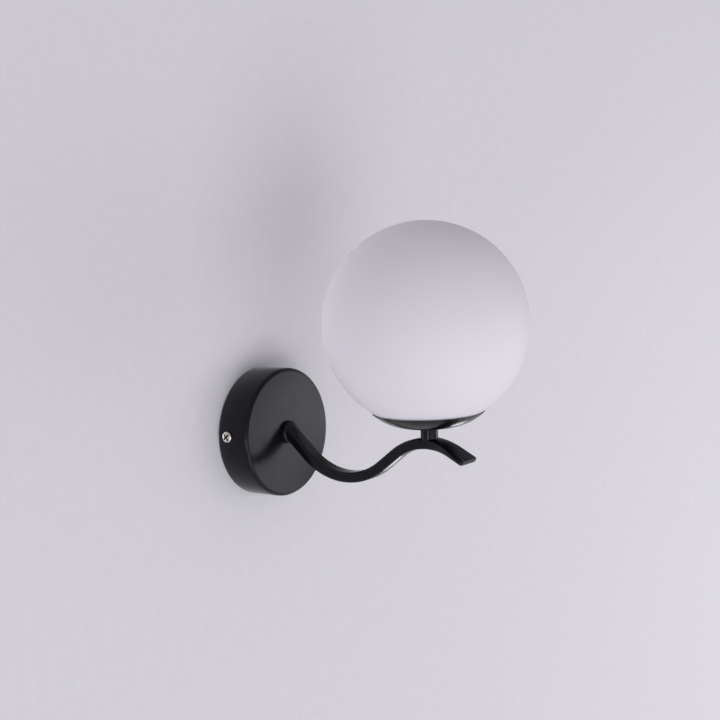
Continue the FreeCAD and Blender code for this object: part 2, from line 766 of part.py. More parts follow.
def arm_run(inset, tail):
    """The arm's run with its section drawn in by inset, stopped short of the tip by tail."""
    drop = size("drop_angle")
    rise = size("rise_angle")
    fall = size("fall_angle")
    stock = (size("arm_width"), size("arm_height"), size("arm_corner"))
    round_start = (size("start_width"), size("start_width"), size("start_width") / 2)
    tip = (size("tip_width"), size("tip_height"), size("tip_height") / 2)
    flat = profile_between(stock, stock, 0, inset)
    start = FreeCAD.Vector(0, -size("arm_start"), -size("arm_start_drop"))
    first_run = size("first_run")
    lead = size("start_width")
    stations = [(-lead, 0), (-lead / 2, 0)]
    stations += [(share * size("round_run"), share) for share in START_SHARES]
    wires = []
    for along, share in stations:
        profile = profile_between(round_start, stock, share * share * (3 - 2 * share), inset)
        wires.append(station(start + heading(-drop) * along, -drop, profile))
    solids = [Part.makeLoft(wires, True, False)]
    flattened = start + heading(-drop) * size("round_run")
    rest = first_run - size("round_run")
    face = Part.Face(station(flattened, -drop, flat))
    solids.append(face.extrude(heading(-drop) * rest))
    low = start + heading(-drop) * first_run
    solid, rising = bend(low, -drop, size("low_bend_radius"), drop + rise, flat)
    solids.append(solid)
    middle = size("middle_run")
    face = Part.Face(station(rising, rise, flat))
    solids.append(face.extrude(heading(rise) * middle))
    turn = rising + heading(rise) * middle
    radius = size("crest_bend_radius")
    solid, crest = bend(turn, rise, radius, -rise, flat)
    solids.append(solid)
    solids.append(tip_run(crest, radius, fall, (stock, tip), inset, tail))
    whole = solids[0]
    for solid in solids[1:]:
        whole = whole.fuse(solid)
    return whole


def tip_run(crest, radius, fall, profiles, inset, tail):
    """From the crest to the tip the tube is flattened more and more."""
    arc = math.radians(fall) * radius
    total = arc + size("last_run") - tail
    wires = []
    for share in TIP_SHARES:
        along = share * total
        flattening = along / (arc + size("last_run"))
        blend = flattening * flattening * (3 - 2 * flattening)
        slope = -math.degrees(min(along, arc) / radius)
        centre = crest - upward(0) * radius
        point = centre + upward(slope) * radius + heading(slope) * max(along - arc, 0)
        profile = profile_between(profiles[0], profiles[1], blend, inset)
        wires.append(station(point, slope, profile))
    return Part.makeLoft(wires, True, False)


def tip_outline():
    """A slab whose plan has the tip's rounded corners, standing across the arm."""
    end = arm_corners()[-1]
    slope = -size("fall_angle")
    half = size("tip_width")
    corner = size("tip_corner")
    reach = size("projection")
    inner = size("tip_width") / 2 - corner
    angle = FreeCAD.Vector(math.sqrt(0.5), math.sqrt(0.5), 0) * corner
    edges = []
    right = FreeCAD.Vector(inner + corner, -corner, 0)
    edges.append(Part.Arc(right, FreeCAD.Vector(inner, -corner, 0) + angle,
                          FreeCAD.Vector(inner, 0, 0)).toShape())
    edges.append(Part.LineSegment(FreeCAD.Vector(inner, 0, 0),
                                  FreeCAD.Vector(-inner, 0, 0)).toShape())
    left = FreeCAD.Vector(-inner - corner, -corner, 0)
    angle = FreeCAD.Vector(-angle.x, angle.y, 0)
    edges.append(Part.Arc(FreeCAD.Vector(-inner, 0, 0),
                          FreeCAD.Vector(-inner, -corner, 0) + angle, left).toShape())
    points = [left, FreeCAD.Vector(-half, -corner, 0), FreeCAD.Vector(-half, -reach, 0),
              FreeCAD.Vector(half, -reach, 0), FreeCAD.Vector(half, -corner, 0), right]
    edges.append(Part.makePolygon(points))
    wire = Part.Wire([edge for item in edges for edge in item.Edges])
    slab = Part.Face(wire).extrude(FreeCAD.Vector(0, 0, 4 * reach))
    slab.translate(FreeCAD.Vector(0, 0, -2 * reach))
    turn = FreeCAD.Rotation(FreeCAD.Vector(1, 0, 0), -slope)
    flip = FreeCAD.Rotation(FreeCAD.Vector(0, 0, 1), 180)
    slab.Placement = FreeCAD.Placement(end, turn.multiply(flip)).multiply(slab.Placement)
    return slab


def made(label, shape):
    """Keep a shape worked out above as a piece of its own."""
    item = doc.addObject("Part::Feature", label)
    item.Label = label
    item.Shape = shape
    return item


def arm_outside():
    reach = size("projection")
    behind = Part.makeBox(reach, reach, reach,
                          FreeCAD.Vector(-reach / 2, -size("arm_start"), -reach / 2))
    return arm_run(0, 0).cut(behind).common(tip_outline())


def arm(outside):
    """Steel tube: round at the collar, flattened along the run, pinched shut at the tip."""
    hollow = arm_run(size("tube_wall"), size("pinch_length"))
    height = size("arm_height")
    axis = FreeCAD.Vector(0, -size("projection"), size("crest_height"))
    wire_hole = Part.makeCylinder(size("nipple_bore"), height, axis)
    return made("arm", outside.cut(hollow).cut(wire_hole))


# ---------------------------------------------------------------- post and dish
def post(outside):
    """Short round spacer, saddled and welded on the crest and tapped at its top."""
    foot = FreeCAD.Vector(0, -size("projection"), size("crest_height"))
    top = size("dish_under") - size("crest_height")
    body = Part.makeCylinder(size("post_radius"), top, foot)
    bore = Part.makeCylinder(size("nipple_bore"), top, foot)
    tap = Part.makeCylinder(size("nipple_radius + thread_gap"), size("nipple_radius"),
                            foot + FreeCAD.Vector(0, 0, top - size("nipple_radius")))
    return made("post", body.cut(outside).cut(bore).cut(tap))


def holder_nipple():
    """Threaded tube from the post through the dish into the lampholder's base."""
    low = "dish_under - nipple_radius + thread_gap"
    tube = padded("holder_nipple", "XY_Plane", [("0", "0", "nipple_radius")],
                  f"nipple_top - ({low})", holes=[("0", "0", "nipple_bore")])
    return place(tube, out="projection", up=low)


def dish():
    """Spun steel dish that follows the underside of the globe."""
    bore = "nipple_radius + free_gap"
    return on_globe_axis(turned("dish", "Z", [
        (bore, "dish_under"),
        ("dish_floor_radius", "dish_under"),
        ("rim_outer", "rim_height", "dish_curve_outer"),
        ("dish_rim_radius", "rim_height"),
        ("dish_floor_radius", "dish_floor", "-dish_curve"),
        (bore, "dish_floor")]))


def globe_seal():
    """Soft ring between the dish and the edge of the glass."""
    return on_globe_axis(turned("globe_seal", "Z", [
        ("seal_inner", "seal_bottom_in"),
        ("seal_outer", "seal_bottom_out", "seal_curve"),
        ("seal_outer", "seal_top_out"),
        ("seal_inner", "seal_top_in", "-clear_radius")]))


TONGUES = 3


def globe_spring():
    """Spring-steel spider whose three bowed tongues hold the edge of the globe's opening."""
    body = padded("globe_spring", "XY_Plane", [("0", "0", "spring_ring_radius")],
                  "spring_thickness", holes=[("0", "0", "nipple_radius + free_gap")])
    leg = new_sketch(body, "XZ_Plane", "leg")
    thick = "spring_thickness"
    knee = "tongue_outer - kink_set"
    draw_outline(leg, [
        ("spring_ring_radius - spring_overlap", "0"),
        ("dish_floor_radius - heel_set", "0"),
        (knee, "knee_rise"),
        (knee, "knee_rise + (kink_rise - knee_rise) / 2"),
        ("tongue_outer", "kink_rise"),
        ("tongue_outer - tongue_tuck", "tongue_height"),
        (f"tongue_outer - tongue_tuck - {thick}", f"tongue_height - {thick} / 2"),
        (f"tongue_outer - {thick} * 1.1", "kink_rise"),
        (f"{knee} - {thick}", "knee_rise + (kink_rise - knee_rise) / 2"),
        (f"{knee} - {thick}", f"knee_rise + {thick} / 2"),
        (f"dish_floor_radius - heel_set - {thick} / 3", thick),
        ("spring_ring_radius - spring_overlap", thick)])
    pad = body.newObject("PartDesign::Pad", "globe_spring_leg_pad")
    pad.Profile = leg
    bind(pad, "Length", "tongue_width")
    pad.Midplane = True
    legs = body.newObject("PartDesign::PolarPattern", "globe_spring_legs")
    legs.Originals = [pad]
    legs.Axis = (origin_item(body, "Z_Axis"), [""])
    legs.Angle = 360
    legs.Occurrences = TONGUES
    body.Tip = legs
    return place(body, out="projection", up="dish_floor")


def globe():
    """Blown opal glass sphere, open at the bottom."""
    outer = doc.addObject("Part::Sphere", "globe_outside")
    bind(outer, "Radius", "globe_radius")
    inner = doc.addObject("Part::Sphere", "globe_inside")
    bind(inner, "Radius", "globe_radius - glass_wall")
    mouth = doc.addObject("Part::Cylinder", "globe_mouth")
    bind(mouth, "Radius", "opening_radius")
    bind(mouth, "Height", "globe_radius + glass_wall")
    shell = cut_away("globe_shell", outer, inner)
    for item in (outer, inner):
        place(item, out="projection", up="globe_centre")
    place(mouth, out="projection", up="globe_centre - globe_radius - glass_wall")
    return cut_away("globe", shell, mouth)


# ---------------------------------------------------------------- lampholder
def holder_base():
    """Domed cover of the lampholder, tapped for the threaded tube, with room for the terminals."""
    wall = "holder_wall"
    shoulder = "holder_base + holder_shoulder"
    return on_globe_axis(turned("holder_base", "Z", [
        ("nipple_radius + thread_gap", "holder_base"),
        ("holder_radius - holder_shoulder", "holder_base"),
        ("holder_radius", shoulder, "holder_shoulder"),
        ("holder_radius", "core_bottom"),
        ("skirt_inner", "core_bottom"),
        ("skirt_inner", shoulder),
        (f"skirt_inner - (holder_shoulder - {wall})", f"holder_base + {wall}",
         f"-(holder_shoulder - {wall})"),
        ("holder_collar_radius", f"holder_base + {wall}"),
        ("holder_collar_radius", "nipple_top"),
        ("nipple_radius + thread_gap", "nipple_top")]))


def holder_core():
    """Ceramic middle of the lampholder: a disc with rivet holes and a tube round the contact shell."""
    flange = "core_bottom + flange_thickness"
    tube_top = "skirt_top - lip_thickness - free_gap"
    body = turned("holder_core", "Z", [
        ("0", "core_bottom"), ("holder_radius", "core_bottom"), ("holder_radius", flange),
        ("core_tube_outer", flange), ("core_tube_outer", tube_top),
        ("core_tube_inner", tube_top), ("core_tube_inner", "core_top"), ("0", "core_top")])
    cut_through(body, "rivet_holes", "XY_Plane", circles=[
        ("terminal_offset", "0", "rivet_radius + thread_gap"),
        ("-terminal_offset", "0", "rivet_radius + thread_gap")])
    return on_globe_axis(body)


def holder_skirt():
    """Outer sleeve of the lampholder with an inturned lip."""
    foot = "core_bottom + flange_thickness"
    return on_globe_axis(turned("holder_skirt", "Z", [
        ("skirt_inner", foot), ("holder_radius", foot),
        ("holder_radius", "skirt_top - holder_wall / 2"),
        ("holder_radius - holder_wall / 2", "skirt_top", "holder_wall / 2"),
        ("lip_radius", "skirt_top"),
        ("lip_radius", "skirt_top - lip_thickness"),
        ("skirt_inner", "skirt_top - lip_thickness")]))


def thread_shell():
    """Contact shell that takes the lamp's screw cap, with an ear for its rivet."""
    top = "skirt_top - lip_thickness - 2 * free_gap"
    body = turned("thread_shell", "Z", [
        ("shell_inner", "core_top"), ("shell_outer", "core_top"),
        ("shell_outer", top), ("shell_inner", top)])
    ear = new_sketch(body, "XY_Plane", "ear")
    bind(ear, "AttachmentOffset.Base.z", "core_top")
    half = "contact_width / 2"
    near = "terminal_offset - rivet_land"
    draw_outline(ear, [("shell_inner + shell_wall / 2", f"-{half}"),
                       ("shell_inner + shell_wall / 2", half), (near, half), (near, f"-{half}")])
    draw_circle(ear, "terminal_offset", "0", "rivet_radius + thread_gap")
    pad = body.newObject("PartDesign::Pad", "thread_shell_ear_pad")
    pad.Profile = ear
    bind(pad, "Length", "shell_wall")
    return on_globe_axis(body)


def centre_contact():
    """Bent bronze strip under the lamp's tip."""
    thick = "contact_thickness"
    outer = "-(terminal_offset + rivet_land)"
    inner = "-(terminal_offset - rivet_land)"
    body = padded("centre_contact", "XZ_Plane", [
        (outer, "core_top"), (inner, "core_top"),
        (f"-{thick}", f"contact_top - {thick}"), ("tip_radius / 2", f"contact_top - {thick}"),
        ("tip_radius / 2", "contact_top"), (f"-{thick} * 1.5", "contact_top"),
        (f"{inner} - {thick} / 2", f"core_top + {thick}"), (outer, f"core_top + {thick}")],
        "contact_width", both_ways=True)
    cut_through(body, "rivet_hole", "XY_Plane",
                circles=[("-terminal_offset", "0", "rivet_radius + thread_gap")])
    return on_globe_axis(body)


def holder_terminals():
    """Two brass terminals under the core, bored for the wires and tapped for their screws."""
    blocks = []
    for name, side in (("live", ""), ("neutral", "-")):
        half = "holder_terminal / 2"
        body = padded(f"holder_terminal_{name}", "XY_Plane", [
            (half, f"-{half}"), (half, half), (f"-{half}", half), (f"-{half}", f"-{half}")],
            "holder_terminal")
        cut_through(body, "wire_bore", "XY_Plane",
                    circles=[("0", "0", "wire_radius + thread_gap")],
                    depth="holder_terminal - rivet_radius", lift="holder_terminal")
        cut_through(body, "tap", "XZ_Plane",
                    circles=[("0", "m3_head_radius + free_gap", "m3_radius + thread_gap")],
                    depth=half, lift=half)
        place(body, f"{side}terminal_offset", "projection", "core_bottom",
              axis=(1, 0, 0), angle=180)
        blocks.append(body)
    return group("holder_terminals", blocks)


def holder_terminal_screws():
    screws = []
    for name, side in (("live", ""), ("neutral", "-")):
        screw = pan_screw(f"holder_screw_{name}", "m3", "pole_screw_length")
        screws.append(place(screw, f"{side}terminal_offset",
                            "projection - holder_terminal / 2",
                            "core_bottom - m3_head_radius - free_gap",
                            axis=(1, 0, 0), angle=-90))
    return group("holder_terminal_screws", screws)


def holder_rivets():
    """Rivets from the terminals through the core to the contacts."""
    rivets = []
    for name, side, seat in (("live", "-", "contact_thickness"), ("neutral", "", "shell_wall")):
        top = f"core_thickness + {seat}"
        body = turned(f"holder_rivet_{name}", "Z", [
            ("0", "0"), ("rivet_radius", "0"), ("rivet_radius", top),
            ("rivet_head_radius", top), ("rivet_crown_radius", f"{top} + rivet_head"),
            ("0", f"{top} + rivet_head")])
        rivets.append(place(body, f"{side}terminal_offset", "projection", "core_bottom"))
    return group("holder_rivets", rivets)


# ---------------------------------------------------------------- lamp
def lamp_tip_contact():
    """The lamp's tip, on which it turns as it is unscrewed."""
    return on_globe_axis(turned("lamp_tip_contact", "Z", [
        ("0", "lamp_tip"), ("tip_radius / 2", "lamp_tip"),
        ("tip_radius", "insulator_bottom - tip_thickness / 2"),
        ("tip_radius", "insulator_bottom - thread_gap"),
        ("0", "insulator_bottom - thread_gap")]))


def lamp_insulator():
    """Glass insulator between the lamp's tip and its screw cap."""
    inside = "cap_radius - cap_wall - thread_gap"
    return on_globe_axis(turned("lamp_insulator", "Z", [
        ("tip_radius / 2", "insulator_bottom"), ("tip_radius + insulator_flare", "insulator_bottom"),
        (inside, "cap_bottom"), (inside, "cap_bottom + tip_thickness"),
        ("tip_radius / 2", "cap_bottom + tip_thickness")]))


def lamp_cap():
    """The lamp's screw cap."""
    return on_globe_axis(turned("lamp_cap", "Z", [
        ("cap_radius - cap_wall", "cap_bottom"), ("cap_radius", "cap_bottom"),
        ("cap_radius", "cap_top"), ("cap_radius - cap_wall", "cap_top")]))


def lamp_housing():
    """Moulded neck of the lamp."""
    collar = "housing_top - lamp_wall * 2"
    foot = "cap_radius - cap_wall"
    return on_globe_axis(turned("lamp_housing", "Z", [
        (foot, "cap_top"), (f"{foot} + lamp_wall", "cap_top"),
        ("lamp_radius", collar), ("lamp_radius", "housing_top"),
        ("lamp_radius - lamp_wall", "housing_top"), ("lamp_radius - lamp_wall", collar)]))


def lamp_dome():
    """Opal dome of the lamp."""
    inner = "lamp_radius - lamp_wall"
    return on_globe_axis(turned("lamp_dome", "Z", [
        (inner, "housing_top"), ("lamp_radius", "housing_top"), ("lamp_radius", "dome_belt"),
        ("0", "dome_belt + lamp_radius", "lamp_radius"),
        ("0", f"dome_belt + {inner}"),
        (inner, "dome_belt", f"-({inner})")]))


def led_board():
    """Aluminium disc that carries the light-emitting chips, seated in the neck's top."""
    disc = padded("led_board", "XY_Plane",
                  [("0", "0", "lamp_radius - lamp_wall - free_gap")], "led_board_thickness")
    return place(disc, out="projection", up="board_bottom")


CHIPS = 8


def led_chips():
    chips = []
    for number in range(CHIPS):
        turn = 360 * number / CHIPS
        chip = doc.addObject("Part::Box", f"led_chip_{number + 1}")
        bind(chip, "Length", "led_size")
        bind(chip, "Width", "led_size")
        bind(chip, "Height", "led_thickness")
        spoke = f"led_ring_radius * cos({turn} * 1deg)"
        rung = f"led_ring_radius * sin({turn} * 1deg)"
        chips.append(place(chip, f"{spoke} - led_size / 2",
                           f"projection + {rung} + led_size / 2", "board_top"))
    return group("led_chips", chips)


def driver_board():
    """Circuit board standing in the lamp's cap and neck."""
    half = "cap_radius - cap_wall - free_gap"
    low = "cap_bottom + tip_thickness"
    board = padded("driver_board", "XZ_Plane", [
        (half, low), (half, f"{low} + driver_height"),
        (f"-({half})", f"{low} + driver_height"), (f"-({half})", low)],
        "driver_thickness", both_ways=True)
    return on_globe_axis(board)


def driver_capacitor():
    can = padded("driver_capacitor", "XY_Plane", [("0", "0", "capacitor_radius")],
                 "capacitor_length")
    return place(can, out="projection + driver_thickness / 2 + capacitor_radius + thread_gap",
                 up="cap_bottom + tip_thickness + driver_height - capacitor_length")


# ---------------------------------------------------------------- nuts, washers, bush
def arm_nut():
    return place(nut("arm_nut"), out="arm_nut_end", axis=(1, 0, 0), angle=90)


def arm_washer():
    return place(tooth_ring("arm_washer"), out="arm_nut_face", axis=(1, 0, 0), angle=90)


def dish_nut():
    return place(nut("dish_nut"), out="projection", up="nut_seat")


def dish_washer():
    return place(tooth_ring("dish_washer"), out="projection", up="spring_top")


def nipple_bush():
    """Smooth bush in the inner end of the arm's threaded tube, where the wires enter."""
    barrel = "nipple_bore - thread_gap"
    bore = "nipple_bore - bush_wall"
    return turned("nipple_bush", "Y", [
        (bore, "-(arm_nipple_end - bush_lip)"),
        ("nipple_radius", "-(arm_nipple_end - bush_lip)"),
        ("nipple_radius", "-arm_nipple_end"), (barrel, "-arm_nipple_end"),
        (barrel, "-(arm_nipple_end + nipple_radius)"),
        (bore, "-(arm_nipple_end + nipple_radius)")])


# ---------------------------------------------------------------- wires
VOLUME_TOLERANCE = 0.02


def wire_along(label, points, radii):
    """A round wire along straight runs and tangent arcs, its volume checked."""
    path = rounded_path(points, radii)
    radius = size("wire_radius")
    direction = (points[1] - points[0]).normalize()
    circle = Part.Wire([Part.makeCircle(radius, points[0], direction)])
    solid = path.makePipeShell([circle], True, False)
    expected = math.pi * radius * radius * path.Length
    if abs(solid.Volume / expected - 1) > VOLUME_TOLERANCE:
        raise RuntimeError(f"{label} is not a true tube")
    return made(label, solid)


def arm_wire(label, side, pole):
    """A wire from the block's pole through the arm and the post to the holder's terminal."""
    lane = side * size("wire_spacing") / 2
    pole_x = size("block_pitch") * pole
    corners = arm_corners()
    rise = math.radians(size("rise_angle"))
    lead = math.radians(size("crest_lead"))
    radius = size("crest_bend_radius")
    crest = FreeCAD.Vector(lane, -size("projection"), size("crest_height"))
    turn_start = crest + FreeCAD.Vector(0, math.sin(rise) * radius, (math.cos(rise) - 1) * radius)
    near_crest = turn_start + heading(math.degrees(rise)) * (radius * math.tan((rise - lead) / 2))
    climb = (near_crest.y + size("projection")) * math.tan(lead)
    under_post = FreeCAD.Vector(lane, -size("projection"), near_crest.z + climb)
    terminal = side * size("terminal_offset")
    spread = abs(terminal - lane)
    fan = size("nipple_top - holder_bend / 4")
    out = size("pole_depth")
    entry = -size("arm_start_drop")
    points = [
        FreeCAD.Vector(pole_x, -out, size("block_middle")),
        FreeCAD.Vector(pole_x, -out, size("block_top") / 2),
        FreeCAD.Vector(lane, -(out + size("wire_bend")), entry),
        FreeCAD.Vector(lane, -size("arm_start"), entry),
        FreeCAD.Vector(lane, corners[1].y, corners[1].z),
        near_crest,
        under_post,
        FreeCAD.Vector(lane, -size("projection"), fan),
        FreeCAD.Vector(terminal, -size("projection"), fan + spread),
        FreeCAD.Vector(terminal, -size("projection"),
                       size("core_bottom") - size("holder_terminal / 2"))]
    tight = size("wire_bend")
    holder = size("holder_bend")
    radii = [tight, tight, tight * 2, size("low_bend_radius"), radius, tight, holder, holder]
    return wire_along(label, points, radii)


def earth_wire():
    """Short wire from the lug's barrel down to the block's first pole."""
    barrel = size("strip_thickness") + size("wire_radius + lug_thickness")
    top = size("block_top")
    foot = -size("lug_length")
    pole_x = -size("block_pitch")
    points = [
        FreeCAD.Vector(size("earth_x"), -barrel, foot + size("barrel_length") / 2),
        FreeCAD.Vector(size("earth_x"), -barrel, foot - size("wire_radius")),
        FreeCAD.Vector(pole_x, -size("pole_depth"), top + size("wire_radius")),
        FreeCAD.Vector(pole_x, -size("pole_depth"), size("block_middle"))]
    bend_radius = size("holder_bend")
    return wire_along("earth_wire", points, [bend_radius, bend_radius])


# ---------------------------------------------------------------- the whole light
arm_shape = arm_outside()
pieces = [
    wall_bracket(), canopy(), side_screws(), terminal_block(), terminal_inserts(),
    terminal_screws(), block_screw(), earth_lug(), earth_washer(), earth_screw(),
    arm_collar(), arm_nipple(), arm_washer(), arm_nut(), nipple_bush(), arm(arm_shape),
    post(arm_shape), holder_nipple(), dish(), globe_seal(), globe_spring(), dish_washer(),
    dish_nut(), globe(), holder_base(), holder_core(), holder_skirt(), thread_shell(),
    centre_contact(), holder_terminals(), holder_terminal_screws(), holder_rivets(),
    lamp_tip_contact(), lamp_insulator(), lamp_cap(), lamp_housing(), lamp_dome(),
    led_board(), led_chips(), driver_board(), driver_capacitor(),
    arm_wire("live_wire", 1, 1), arm_wire("neutral_wire", -1, 0), earth_wire(),
]

doc.recompute()
for item in doc.Objects:
    if "Invalid" in item.State or "Error" in item.State:
        raise RuntimeError(f"{item.Label} did not build: {item.State}")
for piece in pieces:
    if piece.Shape.isNull() or not piece.Shape.isValid():
        raise RuntimeError(f"{piece.Label} has no valid shape")

os.makedirs("parts", exist_ok=True)
for piece in pieces:
    piece.Shape.exportStep(f"parts/{piece.Label}.step")
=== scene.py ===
import math

import bmesh
import bpy
from mathutils import Matrix, Vector


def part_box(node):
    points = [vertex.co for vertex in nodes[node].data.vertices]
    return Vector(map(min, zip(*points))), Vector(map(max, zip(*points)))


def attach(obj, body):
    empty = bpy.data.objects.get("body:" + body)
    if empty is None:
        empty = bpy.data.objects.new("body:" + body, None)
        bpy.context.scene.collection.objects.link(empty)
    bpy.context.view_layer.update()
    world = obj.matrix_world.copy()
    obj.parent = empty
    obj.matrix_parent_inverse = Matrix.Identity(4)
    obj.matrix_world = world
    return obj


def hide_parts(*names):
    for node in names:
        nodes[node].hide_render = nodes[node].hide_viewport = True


# A globe wall light with a black enamelled canopy, arm and dish and a frosted opal glass globe.
# The wall is the plane Y = 0, the light stands out along -Y, and the frame is in metres.
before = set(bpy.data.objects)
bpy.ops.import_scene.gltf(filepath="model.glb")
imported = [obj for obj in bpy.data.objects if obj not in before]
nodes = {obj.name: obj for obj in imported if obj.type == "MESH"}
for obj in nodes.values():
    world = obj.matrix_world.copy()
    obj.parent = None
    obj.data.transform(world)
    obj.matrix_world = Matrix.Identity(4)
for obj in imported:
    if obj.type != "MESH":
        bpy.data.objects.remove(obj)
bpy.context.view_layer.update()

# ---------------------------------------------------------------- camera
# The camera stands to the left of the light and a little above it.  It looks slightly down along
# the wall through a short telephoto lens, and is tipped about two degrees.
CAMERA_PLACE = Vector((-0.89315, -0.76339, 0.18867))
YAW = math.radians(53.39)
PITCH = math.radians(6.63)
ROLL = math.radians(-2.2)
FOCAL_LENGTH, FILM_WIDTH = 75, 36    # in millimetres

lens = bpy.data.cameras.new("view")
lens.lens = FOCAL_LENGTH
lens.sensor_width = FILM_WIDTH
camera = bpy.data.objects.new("view", lens)
bpy.context.scene.collection.objects.link(camera)
ahead = Vector((math.sin(YAW) * math.cos(PITCH), math.cos(YAW) * math.cos(PITCH),
                -math.sin(PITCH)))
level = Vector((math.cos(YAW), -math.sin(YAW), 0))
above = level.cross(ahead)
camera_right = level * math.cos(ROLL) + above * math.sin(ROLL)
camera_up = above * math.cos(ROLL) - level * math.sin(ROLL)
facing = Matrix((camera_right, camera_up, -ahead)).transposed()
camera.matrix_world = Matrix.Translation(CAMERA_PLACE) @ facing.to_4x4()
bpy.context.scene.camera = camera
bpy.context.scene.view_settings.view_transform = "Standard"

# ---------------------------------------------------------------- wall and light
# A painted plaster wall in a pale room, with a broad window low in front of it and weaker light
# from both sides.  The camera sees the wall from the room's side only, and nothing else sees it:
# what the enamel and the glass mirror there is the room's own light.
MM = 0.001
WALL_CENTRE = Vector((0.3, 0.0006, 0))
WALL_HALF = Vector((2.2, 0, 1.7))
PLASTER = "#CFCDD2"
PLASTER_SHADE = "#C9C7CC"
ROLLER_GRAIN = 9 * MM                # stipple left by the paint roller
ROLLER_RELIEF = 0.12 * MM


def linear(colour):
    """An sRGB hex colour as linear light."""
    parts = [int(colour[place:place + 2], 16) / 255 for place in (1, 3, 5)]
    return [part / 12.92 if part <= 0.04045 else ((part + 0.055) / 1.055) ** 2.4
            for part in parts] + [1]


def add(tree, kind, inputs=None, **settings):
    """A new node in a tree, with its settings made and its inputs set or linked."""
    node = tree.nodes.new(kind)
    for name, value in settings.items():
        setattr(node, name, value)
    for socket, value in (inputs or {}).items():
        if isinstance(value, bpy.types.NodeSocket):
            tree.links.new(value, node.inputs[socket])
        else:
            node.inputs[socket].default_value = value
    return node


def empty_material(name):
    material = bpy.data.materials.new(name)
    material.use_nodes = True
    material.node_tree.nodes.clear()
    return material, material.node_tree


def painted_plaster():
    """Matt emulsion on plaster; only what looks at the room side of the wall sees it."""
    material, tree = empty_material("painted_plaster")
    spot = add(tree, "ShaderNodeTexCoord").outputs["Object"]
    stipple = add(tree, "ShaderNodeTexNoise",
                  {"Vector": spot, "Scale": 1 / ROLLER_GRAIN, "Detail": 4})
    tone = add(tree, "ShaderNodeMix",
               {"Factor": stipple.outputs[0], "A": linear(PLASTER_SHADE), "B": linear(PLASTER)},
               data_type="RGBA")
    relief = add(tree, "ShaderNodeBump",
                 {"Height": stipple.outputs[0], "Distance": ROLLER_RELIEF})
    paint = add(tree, "ShaderNodeBsdfDiffuse",
                {"Color": tone.outputs["Result"], "Normal": relief.outputs[0]})
    ray = add(tree, "ShaderNodeLightPath").outputs["Is Camera Ray"]
    behind = add(tree, "ShaderNodeNewGeometry").outputs["Backfacing"]
    seen = add(tree, "ShaderNodeMath", {0: ray, 1: behind}, operation="SUBTRACT", use_clamp=True)
    clear = add(tree, "ShaderNodeBsdfTransparent")
    either = add(tree, "ShaderNodeMixShader",
                 {0: seen.outputs[0], 1: clear.outputs[0], 2: paint.outputs[0]})
    add(tree, "ShaderNodeOutputMaterial", {"Surface": either.outputs[0]})
    return material


def keep(mesh, name, material):
    """A mesh as an object in the scene, in one material."""
    piece = bpy.data.objects.new(name, mesh)
    bpy.context.scene.collection.objects.link(piece)
    mesh.materials.clear()
    mesh.materials.append(material)
    return piece


wall_mesh = bpy.data.meshes.new("wall")
wall_corners = [WALL_CENTRE + Vector((across * WALL_HALF.x, 0, up * WALL_HALF.z))
                for across, up in ((-1, -1), (1, -1), (1, 1), (-1, 1))]
wall_mesh.from_pydata(wall_corners, [], [(0, 1, 2, 3)])
keep(wall_mesh, "wall", painted_plaster())

ROOM_ABOVE = 0.50                    # how bright the room is above the light
ROOM_BELOW = 1.08                    # and below it, where the window light falls
ROOM_FADE = 0.8                      # how high and low a direction is where the fade ends
WALL_BESIDE = 0.62                   # the wall itself, as the light's sides see it
WALL_BEHIND = 2.10                   # and straight behind the light
BEHIND_FROM = 0.7                    # how squarely at the wall the brighter part starts
WALL_LINE = 0.05                     # half the soft line between room and wall
DARK_CORNER = Vector((0.8, 0.2, 0.56))   # the way to the wall's dark part, up and to the right
DARK_FROM, DARK_FULL = 0.8, 0.97     # how near that way it starts, and is darkest
DARK_SHARE = 0.4                     # of the wall's brightness that is left there
ROOM_TINT = "#F3F1F7"
BACKDROP = "#E6E3EA"                 # plain paper, where a view looks past the wall


def room():
    """Pale room light, brighter from below, with a plain backdrop for the camera."""
    world = bpy.data.worlds.new("room")
    world.use_nodes = True
    tree = world.node_tree
    tree.nodes.clear()
    direction = add(tree, "ShaderNodeTexCoord").outputs["Generated"]
    toward = add(tree, "ShaderNodeSeparateXYZ", {0: direction})
    height = add(tree, "ShaderNodeMapRange",
                 {"Value": toward.outputs["Z"], "From Min": -ROOM_FADE, "From Max": ROOM_FADE,
                  "To Min": ROOM_BELOW, "To Max": ROOM_ABOVE})
    wallward = add(tree, "ShaderNodeMapRange",
                   {"Value": toward.outputs["Y"], "From Min": -WALL_LINE,
                    "From Max": WALL_LINE})
    glow = add(tree, "ShaderNodeMapRange",
               {"Value": toward.outputs["Y"], "From Min": BEHIND_FROM,
                "To Min": WALL_BESIDE, "To Max": WALL_BEHIND})
    corner = add(tree, "ShaderNodeVectorMath", {0: direction, 1: DARK_CORNER},
                 operation="DOT_PRODUCT")
    shade = add(tree, "ShaderNodeMapRange",
                {"Value": corner.outputs["Value"], "From Min": DARK_FROM, "From Max": DARK_FULL,
                 "To Min": 1.0, "To Max": DARK_SHARE})
    beside = add(tree, "ShaderNodeMath", {0: glow.outputs[0], 1: shade.outputs[0]},
                 operation="MULTIPLY")
    strength = add(tree, "ShaderNodeMix", {"Factor": wallward.outputs[0],
                                           "A": height.outputs[0], "B": beside.outputs[0]})
    light = add(tree, "ShaderNodeBackground",
                {"Color": linear(ROOM_TINT), "Strength": strength.outputs["Result"]})
    paper = add(tree, "ShaderNodeBackground", {"Color": linear(BACKDROP)})
    either = add(tree, "ShaderNodeMixShader",
                 {0: add(tree, "ShaderNodeLightPath").outputs["Is Camera Ray"],
                  1: light.outputs[0], 2: paper.outputs[0]})
    add(tree, "ShaderNodeOutputWorld", {"Surface": either.outputs[0]})
    bpy.context.scene.world = world


room()


